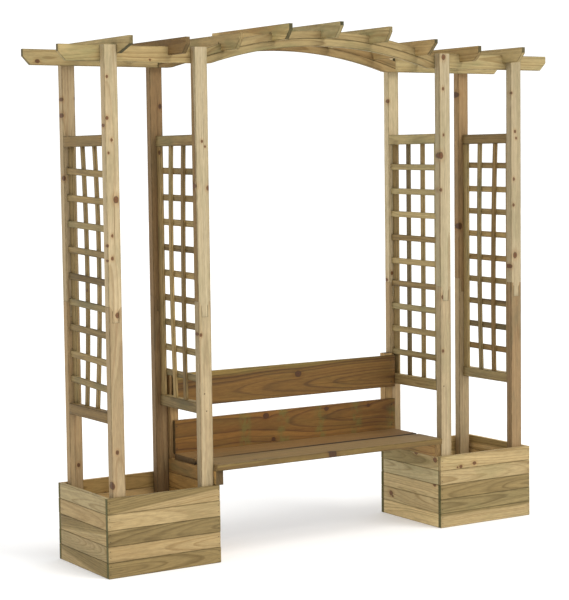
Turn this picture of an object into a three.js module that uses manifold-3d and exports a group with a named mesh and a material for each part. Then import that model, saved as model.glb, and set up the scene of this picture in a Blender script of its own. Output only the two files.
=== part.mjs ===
// Timber arbour seat: two planter boxes carry eight posts, each spliced at mid-height, the posts carry a straight beam
// on each side and two bowed arches over the middle, nine notched rafters lie across them, four trellis panels fill the
// sides, and a bench with a two-board back spans between the planters.
//
// Millimetres. +Z is up and Z = 0 is the ground under the planters. X runs along the bench, and X = 0 is the middle
// of the seat. -Y is the front, where a sitter's legs are, and Y = 0 is halfway between the planters' front and back.

import * as THREE from "three";
import { mergeVertices } from "three/addons/utils/BufferGeometryUtils.js";
import Module from "manifold-3d";

// ---------------------------------------------------------------- driving dimensions

const GAP = 0.3; // clearance between two pieces that touch

// planters
const BOARD_HEIGHT = 70; // one planter board
const BOARDS_PER_WALL = 5;
const WALL = 20; // thickness of a planter board
const PLANTER_WIDTH = 560; // along X
const PLANTER_DEPTH = 496; // along Y
const PLANTER_OUTER_X = 1178; // outer face of the outer wall
const JOINT_WIDTH = 3; // V groove where two boards meet
const JOINT_DEPTH = 3.5;
const FLOOR_THICKNESS = 18;

// posts
const POST_WIDTH = 63; // along X
const POST_DEPTH = 38; // along Y
const POST_HEIGHT = 2291;
const OUTER_POST_FACE = 1141.7; // outer side face of an outer post
const POST_CHAMFER = 2.5;
const SPLICE_Z = 1175; // shoulder where a post's upper length stands on its lower one
const TONGUE_WIDTH = 31.5; // the upper length's tongue, centred in the post's width
const TONGUE_LENGTH = 70;

// beams and arches
const BEAM_HEIGHT = 70;
const BEAM_THICKNESS = 20;
const BEAM_TOP = 2291;
const BEAM_END = 1335; // outer end of a beam
const BEAM_JOINT = 668; // where beam and arch butt, behind the inner posts
const ARCH_THICKNESS = 24;
const ARCH_UNDERSIDE_RADIUS = 2050;
const ARCH_UNDERSIDE_CROWN = 2311; // height of the underside at X = 0

// rafters
const RAFTER_HEIGHT = 70;
const RAFTER_THICKNESS = 20;
const RAFTER_LENGTH = 700;
const RAFTER_PITCH = 267;
const RAFTER_ABOVE = 32.7; // how far a rafter's top stands above the beam it is notched over

// the cut at the free end of every beam and rafter
const END_PLUMB = 32; // height of the upright part
const END_SETBACK = 36; // how far the lower corner is cut back

// each rafter's front end, from left to right: how far forward it reaches, the height of its upright part and how far
// its lower corner is cut back; the rear ends are all cut like the beams
const RAFTER_FRONT_ENDS = [
  [338, 36, 106], [350, 32, 36], [345, 32, 36], [333, 28, 38], [345, 19, 45],
  [350, 24, 37], [342, 19, 57], [333, 32, 52], [336, 28, 42],
];

// trellis panels
const TRELLIS_BOTTOM = 667;
const BOTTOM_RAIL_HEIGHT = 48;
const TOP_RAIL_BOTTOM = 1862;
const TOP_RAIL_HEIGHT = 48;
const RAIL_THICKNESS = 38;
const CROSS_LATH_SET_BACK = 11.5; // from the show face of the rails to that of the cross laths
const STILE_WIDTH = 38;
const UPRIGHT_WIDTH = 25;
const UPRIGHT_PITCH = 114; // between the two uprights
const LATH_THICKNESS = 12;
const CROSS_LATH_HEIGHT = 29;
const CROSS_LATHS = 9;
const CROSS_LATH_PITCH = 115.8;
const TOP_CROSS_LATH_Z = 1748; // mid-height of the highest one

// how far the front and the rear upright of each panel stand off their places, along +Y
const UPRIGHT_SHIFTS = {
  left_outer: [-15, -15], left_inner: [18, 15], right_inner: [4, 6], right_outer: [5, 4],
};

// bench
const BEARER_THICKNESS = 38;
const BEARER_HEIGHT = 65;
const BEARER_LENGTH = 452;
const RIGHT_BEARER_SET_BACK = 24; // its front end sits this far behind the left one's
const PLANK_THICKNESS = 28;
const PLANK_WIDTH = 188;
const PLANK_GAP = 19;
const PLANK_LEFT = -637.5;
const PLANK_RIGHT = 617; // the planks lie a little to the left, their right ends in line with the planter
const SEAT_FRONT = -263;

// backrest
const BACK_BOARD_HEIGHT = 158;
const BACK_BOARD_THICKNESS = 21;
const BACK_BOARD_LEFT = -624; // the boards' left and right ends
const BACK_BOARD_RIGHT = 637;
const BACK_FACE = 149; // front face of the boards
const BACK_LOWER_Z = 435;
const BACK_UPPER_Z = 653;
const BATTEN = 45;
const BATTEN_TOP = 820;

// ---------------------------------------------------------------- derived sizes

const PLANTER_HEIGHT = BOARD_HEIGHT * BOARDS_PER_WALL;
const PLANTER_INNER_X = PLANTER_OUTER_X - PLANTER_WIDTH;
const PLANTER_HALF = PLANTER_DEPTH / 2;
const INNER_POST_FACE = PLANTER_INNER_X + WALL + GAP; // bench-side face of an inner post
const POST_FRONT = -(PLANTER_HALF - WALL - GAP); // outer face of a front post
const POST_INSIDE = POST_FRONT + POST_DEPTH; // its face towards the trellis
const BEAM_FRONT = POST_INSIDE + GAP;
const ARCH_TOP_RADIUS = ARCH_UNDERSIDE_RADIUS + BEAM_HEIGHT;
const ARCH_CENTRE_Z = ARCH_UNDERSIDE_CROWN - ARCH_UNDERSIDE_RADIUS;
const SEAT_BASE = PLANTER_HEIGHT + GAP + BEARER_HEIGHT; // top of the bearers
const PANEL_HALF = -POST_INSIDE - GAP; // half a trellis panel's length along Y

// ---------------------------------------------------------------- geometry helpers

const wasm = await Module();
wasm.setup();

// (x, y, z) -> (z, x, y): an outline drawn in Y and Z, extruded along X.
const ALONG_X = new THREE.Matrix4().set(
  0, 0, 1, 0,
  1, 0, 0, 0,
  0, 1, 0, 0,
  0, 0, 0, 1,
);
// (x, y, z) -> (x, -z, y): an outline drawn in X and Z, extruded along Y.
const ALONG_Y = new THREE.Matrix4().makeRotationX(Math.PI / 2);
const ALONG_Z = new THREE.Matrix4();

function outline(points) {
  return new THREE.Shape(points.map(([x, y]) => new THREE.Vector2(x, y)));
}

// A rectangle about the origin, its corners cut at 45 degrees.
function section(width, height, chamfer) {
  const w = width / 2,
    h = height / 2,
    c = chamfer;
  return outline([
    [w - c, -h], [w, -h + c], [w, h - c], [w - c, h],
    [-w + c, h], [-w, h - c], [-w, -h + c], [-w + c, -h],
  ]);
}

// A prism of the outline, centred along its length.
function prism(shape, length, along) {
  const g = new THREE.ExtrudeGeometry(shape, {
    depth: length,
    bevelEnabled: false,
    curveSegments: 1,
  });
  return g.translate(0, 0, -length / 2).applyMatrix4(along);
}

// The same with its long edges eased. The outline stays the full size at mid-thickness.
function easedPrism(shape, length, along, ease) {
  const g = new THREE.ExtrudeGeometry(shape, {
    depth: length - 2 * ease,
    bevelEnabled: true,
    bevelThickness: ease,
    bevelSize: ease,
    bevelOffset: -ease,
    bevelSegments: 1,
    curveSegments: 1,
  });
  return g.translate(0, 0, -(length - 2 * ease) / 2).applyMatrix4(along);
}

// A straight piece of timber along one axis. The sizes are those along X, Y and Z.
function timber(x, y, z, chamfer, axis) {
  if (axis === "x") return prism(section(y, z, chamfer), x, ALONG_X);
  if (axis === "y") return prism(section(x, z, chamfer), y, ALONG_Y);
  return prism(section(x, y, chamfer), z, ALONG_Z);
}

function toSolid(geometry) {
  const g = geometry.index ? geometry.toNonIndexed() : geometry.clone();
  g.deleteAttribute("normal");
  g.deleteAttribute("uv");
  const m = mergeVertices(g, 1e-3);
  return new wasm.Manifold(
    new wasm.Mesh({
      numProp: 3,
      vertProperties: m.attributes.position.array,
      triVerts: new Uint32Array(m.index.array),
    }),
  );
}

function fromSolid(solid) {
  const m = solid.getMesh();
  const g = new THREE.BufferGeometry();
  g.setAttribute("position", new THREE.BufferAttribute(m.vertProperties, 3));
  g.setIndex(new THREE.BufferAttribute(m.triVerts, 1));
  g.computeVertexNormals();
  return g;
}

function wood(name, color, roughness) {
  const m = new THREE.MeshStandardMaterial({ color, roughness, metalness: 0 });
  m.name = name;
  return m;
}

const POST_WOOD = wood("post_timber", 0xb3a07e, 0.78);
const BOARD_WOOD = wood("planter_boards", 0xa89668, 0.82);
const BEAM_WOOD = wood("roof_timber", 0xa8945f, 0.8);
const LATH_WOOD = wood("trellis_laths", 0x85784f, 0.84);
const SEAT_WOOD = wood("bench_timber", 0x8f7448, 0.8);
const BACK_WOOD = wood("backrest_boards", 0x7d5f3b, 0.8);
const FLOOR_WOOD = wood("planter_floor", 0x77664a, 0.9);

function piece(parent, name, geometry, material, x = 0, y = 0, z = 0) {
  const mesh = new THREE.Mesh(geometry, material);
  mesh.name = name;
  mesh.position.set(x, y, z);
  parent.add(mesh);
  return mesh;
}

const arbour = new THREE.Group();
arbour.name = "arbour_seat";

function subgroup(name) {
  const g = new THREE.Group();
  g.name = name;
  arbour.add(g);
  return g;
}

// ---------------------------------------------------------------- planters

// A wall's cross-section: thickness along x, height along y, a V groove at each board joint on both faces.
function wallSection() {
  const t = WALL / 2,
    points = [[-t, 0], [t, 0]];
  for (let i = 1; i < BOARDS_PER_WALL; i++) {
    const z = i * BOARD_HEIGHT;
    points.push(
      [t, z - JOINT_WIDTH / 2],
      [t - JOINT_DEPTH, z],
      [t, z + JOINT_WIDTH / 2],
    );
  }
  points.push([t, PLANTER_HEIGHT], [-t, PLANTER_HEIGHT]);
  for (let i = BOARDS_PER_WALL - 1; i > 0; i--) {
    const z = i * BOARD_HEIGHT;
    points.push(
      [-t, z + JOINT_WIDTH / 2],
      [-t + JOINT_DEPTH, z],
      [-t, z - JOINT_WIDTH / 2],
    );
  }
  return outline(points);
}

function planter(side, sign) {
  const group = subgroup("planter_" + side);
  const mid = sign * (PLANTER_INNER_X + PLANTER_WIDTH / 2);
  const endWall = prism(wallSection(), PLANTER_WIDTH, ALONG_X);
  const sideLength = PLANTER_DEPTH - 2 * WALL - 2 * GAP;
  const sideWall = prism(wallSection(), sideLength, ALONG_Y);
  const y = PLANTER_HALF - WALL / 2;
  piece(group, "planter_" + side + "_front_wall", endWall, BOARD_WOOD, mid, -y);
  piece(group, "planter_" + side + "_rear_wall", endWall, BOARD_WOOD, mid, y);
  piece(
    group, "planter_" + side + "_outer_wall", sideWall, BOARD_WOOD,
    sign * (PLANTER_OUTER_X - WALL / 2),
  );
  piece(
    group, "planter_" + side + "_bench_wall", sideWall, BOARD_WOOD,
    sign * (PLANTER_INNER_X + WALL / 2),
  );

  // The floor lies on the ground between the walls, with its corners cut out round the posts.
  const inner = PLANTER_INNER_X + WALL + GAP,
    outer = PLANTER_OUTER_X - WALL - GAP,
    half = PLANTER_HALF - WALL - GAP,
    cutInner = INNER_POST_FACE + POST_WIDTH + GAP,
    cutOuter = OUTER_POST_FACE - POST_WIDTH - GAP,
    cutY = -POST_INSIDE - GAP;
  let points = [
    [cutInner, -half], [cutOuter, -half], [cutOuter, -cutY], [outer, -cutY],
    [outer, cutY], [cutOuter, cutY], [cutOuter, half], [cutInner, half],
    [cutInner, cutY], [inner, cutY], [inner, -cutY], [cutInner, -cutY],
  ];
  if (sign < 0) points = points.map(([x, y]) => [-x, y]).reverse();
  piece(
    group, "planter_" + side + "_floor",
    prism(outline(points), FLOOR_THICKNESS, ALONG_Z), FLOOR_WOOD,
    0, 0, FLOOR_THICKNESS / 2,
  );
}

// ---------------------------------------------------------------- posts

// A post is two lengths joined by a bridle: a slot through the lower one's depth takes the upper one's tongue.
function lowerPost() {
  const height = SPLICE_Z - GAP;
  const stick = timber(POST_WIDTH, POST_DEPTH, height, POST_CHAMFER, "z").translate(0, 0, height / 2);
  const slot = new THREE.BoxGeometry(TONGUE_WIDTH + 2 * GAP, POST_DEPTH + 10, TONGUE_LENGTH + 10);
  slot.translate(0, 0, SPLICE_Z - TONGUE_LENGTH - GAP + (TONGUE_LENGTH + 10) / 2);
  return fromSolid(toSolid(stick).subtract(toSolid(slot)));
}

function upperPost() {
  const height = POST_HEIGHT - SPLICE_Z;
  const stick = timber(POST_WIDTH, POST_DEPTH, height, POST_CHAMFER, "z").translate(0, 0, SPLICE_Z + height / 2);
  const tongue = new THREE.BoxGeometry(TONGUE_WIDTH, POST_DEPTH, TONGUE_LENGTH + 10);
  tongue.translate(0, 0, SPLICE_Z - TONGUE_LENGTH + (TONGUE_LENGTH + 10) / 2);
  return fromSolid(toSolid(stick).add(toSolid(tongue)));
}

const lowerPostGeometry = lowerPost();
const upperPostGeometry = upperPost();

function posts(side, sign) {
  const group = subgroup("posts_" + side);
  const inner = sign * (INNER_POST_FACE + POST_WIDTH / 2),
    outer = sign * (OUTER_POST_FACE - POST_WIDTH / 2),
    y = -(POST_FRONT + POST_DEPTH / 2);
  for (const [place, px, py] of [
    ["inner_front", inner, -y], ["inner_rear", inner, y],
    ["outer_front", outer, -y], ["outer_rear", outer, y],
  ]) {
    const name = "post_" + side + "_" + place;
    piece(group, name + "_lower", lowerPostGeometry, POST_WOOD, px, py);
    piece(group, name + "_upper", upperPostGeometry, POST_WOOD, px, py);
  }
}

// ---------------------------------------------------------------- trellis panels

// The panel stands in the plane X = 0 with its show face towards +X. The stiles and uprights run from rail to rail and
// are housed 5 mm into them, and the cross laths lie on their show side, let into them by 1 mm.
function trellisPanel([front, rear]) {
  const face = 0, // show face of the rails
    railX = face - RAIL_THICKNESS / 2,
    crossX = face - CROSS_LATH_SET_BACK - LATH_THICKNESS / 2,
    uprightX = crossX - LATH_THICKNESS + 1,
    low = TRELLIS_BOTTOM + BOTTOM_RAIL_HEIGHT - 5,
    high = TOP_RAIL_BOTTOM + 5;
  const parts = [];
  const add = (g, x, y, z) => parts.push(toSolid(g.translate(x, y, z)));
  add(
    timber(RAIL_THICKNESS, 2 * PANEL_HALF, BOTTOM_RAIL_HEIGHT, 1.5, "y"),
    railX, 0, TRELLIS_BOTTOM + BOTTOM_RAIL_HEIGHT / 2,
  );
  add(
    timber(RAIL_THICKNESS, 2 * PANEL_HALF, TOP_RAIL_HEIGHT, 1.5, "y"),
    railX, 0, TOP_RAIL_BOTTOM + TOP_RAIL_HEIGHT / 2,
  );
  for (let i = 0; i < CROSS_LATHS; i++)
    add(
      timber(LATH_THICKNESS, 2 * PANEL_HALF - 2, CROSS_LATH_HEIGHT, 1, "y"),
      crossX, 0, TOP_CROSS_LATH_Z - i * CROSS_LATH_PITCH,
    );
  for (const [end, shift] of [[-1, front], [1, rear]]) {
    add(
      timber(LATH_THICKNESS, STILE_WIDTH, high - low, 1, "z"),
      uprightX, end * (PANEL_HALF - 0.5 - STILE_WIDTH / 2), (low + high) / 2,
    );
    add(
      timber(LATH_THICKNESS, UPRIGHT_WIDTH, high - low, 1, "z"),
      uprightX, (end * UPRIGHT_PITCH) / 2 + shift, (low + high) / 2,
    );
  }
  return parts.reduce((a, b) => a.add(b));
}

function trellis(side, sign) {
  const group = subgroup("trellis_" + side);
  // Turned half round, a panel has its front upright where its own rear one would be.
  const panel = (row, turned) => {
    const [front, rear] = UPRIGHT_SHIFTS[side + "_" + row];
    return fromSolid(trellisPanel(turned ? [-rear, -front] : [front, rear]));
  };
  // The show face is flush with the posts' faces: towards the bench on the inner panel, outwards on the outer one.
  const inner = piece(
    group, "trellis_" + side + "_inner", panel("inner", sign > 0), LATH_WOOD,
    sign * (INNER_POST_FACE + GAP),
  );
  const outer = piece(
    group, "trellis_" + side + "_outer", panel("outer", sign < 0), LATH_WOOD,
    sign * (OUTER_POST_FACE - GAP),
  );
  if (sign > 0) inner.rotation.z = Math.PI;
  else outer.rotation.z = Math.PI;
}

// ---------------------------------------------------------------- beams and arches

// Drawn in X and Z from the joint at x = 0 to the free end, with the free end's lower corner cut back.
function beamOutline(length) {
  const cut = BEAM_HEIGHT - END_PLUMB;
  return [
    [0, 0], [length - END_SETBACK, 0], [length, cut],
    [length, BEAM_HEIGHT], [0, BEAM_HEIGHT],
  ];
}

function beams() {
  const group = subgroup("beams");
  const length = BEAM_END - BEAM_JOINT - GAP / 2;
  const y = -(BEAM_FRONT + BEAM_THICKNESS / 2),
    x = BEAM_JOINT + GAP / 2,
    z = BEAM_TOP - BEAM_HEIGHT;
  for (const [side, sign] of [["left", -1], ["right", 1]]) {
    let points = beamOutline(length);
    if (sign < 0) points = points.map(([px, pz]) => [-px, pz]).reverse();
    const g = easedPrism(outline(points), BEAM_THICKNESS, ALONG_Y, 1.5);
    piece(group, "beam_" + side + "_front", g, BEAM_WOOD, sign * x, -y, z);
    piece(group, "beam_" + side + "_rear", g, BEAM_WOOD, sign * x, y, z);
  }
}

// The arch's underside is a circular arc that ends in a short level seat at each end, and its top is a parallel arc.
function archOutline() {
  const seatZ = BEAM_TOP - BEAM_HEIGHT,
    end = BEAM_JOINT - GAP / 2,
    rise = seatZ - ARCH_CENTRE_Z,
    seatX = Math.sqrt(ARCH_UNDERSIDE_RADIUS ** 2 - rise ** 2),
    steps = 28,
    points = [[-end, seatZ]];
  for (let i = 0; i <= steps; i++) {
    const x = -seatX + (2 * seatX * i) / steps;
    points.push([x, ARCH_CENTRE_Z + Math.sqrt(ARCH_UNDERSIDE_RADIUS ** 2 - x * x)]);
  }
  points.push([end, seatZ]);
  for (let i = 0; i <= steps; i++) {
    const x = end - (2 * end * i) / steps;
    points.push([x, ARCH_CENTRE_Z + Math.sqrt(ARCH_TOP_RADIUS ** 2 - x * x)]);
  }
  return points;
}

function arches() {
  const group = subgroup("arches");
  const g = easedPrism(outline(archOutline()), ARCH_THICKNESS, ALONG_Y, 1.5);
  const y = -(BEAM_FRONT + ARCH_THICKNESS / 2);
  piece(group, "arch_front", g, BEAM_WOOD, 0, -y);
  piece(group, "arch_rear", g, BEAM_WOOD, 0, y);
}

// ---------------------------------------------------------------- rafters

// Height of the timber a rafter at x rests on, at the highest point under its thickness.
function supportTop(x) {
  const near = Math.max(0, Math.abs(x) - RAFTER_THICKNESS / 2);
  if (Math.abs(x) > BEAM_JOINT) return BEAM_TOP;
  return ARCH_CENTRE_Z + Math.sqrt(ARCH_TOP_RADIUS ** 2 - near * near);
}

// Drawn in Y and Z, with z = 0 at the rafter's underside, and two notches that drop over the beams or arches.
function rafterOutline(notchWidth, [front, plumb, setback]) {
  const half = RAFTER_LENGTH / 2,
    cut = RAFTER_HEIGHT - END_PLUMB,
    roof = RAFTER_HEIGHT - RAFTER_ABOVE + GAP,
    out = -BEAM_FRONT + GAP,
    inn = out - notchWidth - 2 * GAP;
  return [
    [-front, RAFTER_HEIGHT], [-front, RAFTER_HEIGHT - plumb], [-front + setback, 0],
    [-out, 0], [-out, roof], [-inn, roof], [-inn, 0],
    [inn, 0], [inn, roof], [out, roof], [out, 0],
    [half - END_SETBACK, 0], [half, cut], [half, RAFTER_HEIGHT],
  ];
}

function rafters() {
  const group = subgroup("rafters");
  for (let i = 0; i < 9; i++) {
    const x = (i - 4) * RAFTER_PITCH;
    const notch = Math.abs(x) > BEAM_JOINT ? BEAM_THICKNESS : ARCH_THICKNESS;
    const z = supportTop(x) + RAFTER_ABOVE - RAFTER_HEIGHT;
    const g = easedPrism(outline(rafterOutline(notch, RAFTER_FRONT_ENDS[i])), RAFTER_THICKNESS, ALONG_X, 1.5);
    piece(group, "rafter_" + (i + 1), g, BEAM_WOOD, x, 0, z);
  }
}

// ---------------------------------------------------------------- bench

function bench() {
  const group = subgroup("bench");

  const bearer = timber(BEARER_THICKNESS, BEARER_LENGTH, BEARER_HEIGHT, 1.5, "y");
  const bx = PLANTER_INNER_X + WALL - BEARER_THICKNESS / 2,
    bz = PLANTER_HEIGHT + GAP + BEARER_HEIGHT / 2;
  piece(
    group, "seat_bearer_left", bearer, SEAT_WOOD,
    -bx, -PLANTER_HALF + BEARER_LENGTH / 2, bz,
  );
  piece(
    group, "seat_bearer_right", bearer, SEAT_WOOD,
    bx, -PLANTER_HALF + RIGHT_BEARER_SET_BACK + BEARER_LENGTH / 2, bz,
  );

  const plank = timber(PLANK_RIGHT - PLANK_LEFT, PLANK_WIDTH, PLANK_THICKNESS, 2.5, "x");
  const px = (PLANK_LEFT + PLANK_RIGHT) / 2,
    pz = SEAT_BASE + GAP + PLANK_THICKNESS / 2,
    py = SEAT_FRONT + PLANK_WIDTH / 2;
  piece(group, "seat_plank_front", plank, SEAT_WOOD, px, py, pz);
  piece(group, "seat_plank_rear", plank, SEAT_WOOD, px, py + PLANK_WIDTH + PLANK_GAP, pz);

  const board = timber(BACK_BOARD_RIGHT - BACK_BOARD_LEFT, BACK_BOARD_THICKNESS, BACK_BOARD_HEIGHT, 2, "x");
  const mx = (BACK_BOARD_LEFT + BACK_BOARD_RIGHT) / 2,
    by = BACK_FACE + BACK_BOARD_THICKNESS / 2;
  piece(group, "backrest_board_lower", board, BACK_WOOD, mx, by, BACK_LOWER_Z + BACK_BOARD_HEIGHT / 2);
  piece(group, "backrest_board_upper", board, BACK_WOOD, mx, by, BACK_UPPER_Z + BACK_BOARD_HEIGHT / 2);

  const battenHeight = BATTEN_TOP - SEAT_BASE - GAP;
  const batten = timber(BATTEN, BATTEN, battenHeight, 2, "z");
  const tx = PLANTER_INNER_X + WALL - BATTEN / 2,
    ty = BACK_FACE + BACK_BOARD_THICKNESS + GAP + BATTEN / 2,
    tz = BATTEN_TOP - battenHeight / 2;
  piece(group, "backrest_batten_left", batten, SEAT_WOOD, -tx, ty, tz);
  piece(group, "backrest_batten_right", batten, SEAT_WOOD, tx, ty, tz);
}

// ---------------------------------------------------------------- assembly

planter("left", -1);
planter("right", 1);
posts("left", -1);
posts("right", 1);
trellis("left", -1);
trellis("right", 1);
beams();
arches();
rafters();
bench();

export default arbour;
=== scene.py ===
import math
import random
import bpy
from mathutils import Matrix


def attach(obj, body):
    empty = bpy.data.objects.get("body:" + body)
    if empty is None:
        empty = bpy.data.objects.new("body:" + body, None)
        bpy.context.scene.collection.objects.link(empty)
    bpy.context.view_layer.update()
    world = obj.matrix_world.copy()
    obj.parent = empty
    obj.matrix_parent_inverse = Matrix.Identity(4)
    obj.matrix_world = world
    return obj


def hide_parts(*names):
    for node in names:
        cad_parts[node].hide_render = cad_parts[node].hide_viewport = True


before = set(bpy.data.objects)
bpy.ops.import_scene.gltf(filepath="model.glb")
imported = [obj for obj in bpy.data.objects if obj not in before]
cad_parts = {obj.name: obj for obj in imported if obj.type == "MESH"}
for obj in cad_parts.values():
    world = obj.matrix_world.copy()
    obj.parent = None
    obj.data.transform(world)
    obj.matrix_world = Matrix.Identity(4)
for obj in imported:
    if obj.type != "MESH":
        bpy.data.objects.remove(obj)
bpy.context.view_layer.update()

import zlib

import bmesh
import bpy
from mathutils import Matrix, Vector, noise

# Everything is in metres in the frame's own axes: X along the bench, -Y the front, Z up.
MM = 0.001


# ---------------------------------------------------------------- small helpers

def seeded(name):
    """A random generator that depends only on the piece's name."""
    return random.Random(zlib.crc32(name.encode()))


def lin(*rgb):
    """0-255 display colour to the linear one that a shader takes."""
    out = []
    for c in rgb:
        c = c / 255.0
        out.append(c / 12.92 if c <= 0.04045 else ((c + 0.055) / 1.055) ** 2.4)
    return tuple(out) + (1.0,)


def smooth(a, b, x):
    t = min(1.0, max(0.0, (x - a) / (b - a)))
    return t * t * (3 - 2 * t)


def wobble(seed, x, scale, y=0.0):
    """Smooth noise from -1 to 1."""
    return noise.noise(Vector((x * scale, y, seed * 7.31 + 0.5)))


# ---------------------------------------------------------------- node helpers

class Tree:
    """Short names for building a node tree."""

    def __init__(self, tree):
        self.tree, self.nodes, self.links = tree, tree.nodes, tree.links

    def put(self, socket, value):
        if isinstance(value, bpy.types.NodeSocket):
            self.links.new(value, socket)
        elif value is not None:
            socket.default_value = value

    def new(self, kind, **props):
        n = self.nodes.new(kind)
        for k, v in props.items():
            setattr(n, k, v)
        return n

    def m(self, op, a, b=None, c=None, clamp=False):
        n = self.new("ShaderNodeMath", operation=op, use_clamp=clamp)
        for i, v in enumerate((a, b, c)):
            if v is not None:
                self.put(n.inputs[i], v)
        return n.outputs[0]

    def v(self, op, a, b=None, scale=None):
        n = self.new("ShaderNodeVectorMath", operation=op)
        self.put(n.inputs[0], a)
        if b is not None:
            self.put(n.inputs[1], b)
        if scale is not None:
            self.put(n.inputs[3], scale)
        return n.outputs[1] if op in ("LENGTH", "DISTANCE", "DOT_PRODUCT") else n.outputs[0]

    def xyz(self, vec):
        n = self.new("ShaderNodeSeparateXYZ")
        self.put(n.inputs[0], vec)
        return n.outputs[0], n.outputs[1], n.outputs[2]

    def vec(self, x, y, z):
        n = self.new("ShaderNodeCombineXYZ")
        for i, v in enumerate((x, y, z)):
            self.put(n.inputs[i], v)
        return n.outputs[0]

    def ramp(self, x, a, b, c=0.0, d=1.0, smoothly=True):
        """x from a..b to c..d, clamped."""
        n = self.new("ShaderNodeMapRange", interpolation_type="SMOOTHSTEP" if smoothly else "LINEAR")
        for i, v in enumerate((x, a, b, c, d)):
            self.put(n.inputs[i], v)
        return n.outputs[0]

    def mix(self, f, a, b):
        n = self.new("ShaderNodeMix", data_type="RGBA", clamp_factor=True)
        self.put(n.inputs[0], f)
        self.put(n.inputs[6], a)
        self.put(n.inputs[7], b)
        return n.outputs[2]

    def tint(self, f, a, b, blend):
        n = self.new("ShaderNodeMix", data_type="RGBA", blend_type=blend, clamp_factor=True)
        self.put(n.inputs[0], f)
        self.put(n.inputs[6], a)
        self.put(n.inputs[7], b)
        return n.outputs[2]

    def noise(self, vec, scale=1.0, detail=2.0, rough=0.5, dims="3D", w=None, color=False):
        n = self.new("ShaderNodeTexNoise", noise_dimensions=dims)
        if dims == "1D":
            self.put(n.inputs["W"], w)
        else:
            self.put(n.inputs["Vector"], vec)
        n.inputs["Scale"].default_value = scale
        n.inputs["Detail"].default_value = detail
        n.inputs["Roughness"].default_value = rough
        return n.outputs[1] if color else n.outputs[0]

    def curve(self, x, points):
        n = self.new("ShaderNodeValToRGB")
        r = n.color_ramp
        while len(r.elements) < len(points):
            r.elements.new(0.5)
        for e, (p, c) in zip(r.elements, points):
            e.position = p
            e.color = (c, c, c, 1)
        self.put(n.inputs[0], x)
        return n.outputs[0]


def group(name, inputs, outputs):
    t = bpy.data.node_groups.new(name, "ShaderNodeTree")
    kinds = {"f": "NodeSocketFloat", "v": "NodeSocketVector", "c": "NodeSocketColor"}
    for n, k in inputs:
        t.interface.new_socket(name=n, in_out="INPUT", socket_type=kinds[k])
    for n, k in outputs:
        t.interface.new_socket(name=n, in_out="OUTPUT", socket_type=kinds[k])
    g = Tree(t)
    i, o = g.new("NodeGroupInput"), g.new("NodeGroupOutput")
    return g, {n: i.outputs[n] for n, _ in inputs}, {n: o.inputs[n] for n, _ in outputs}


# ---------------------------------------------------------------- the timber shader

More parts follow.
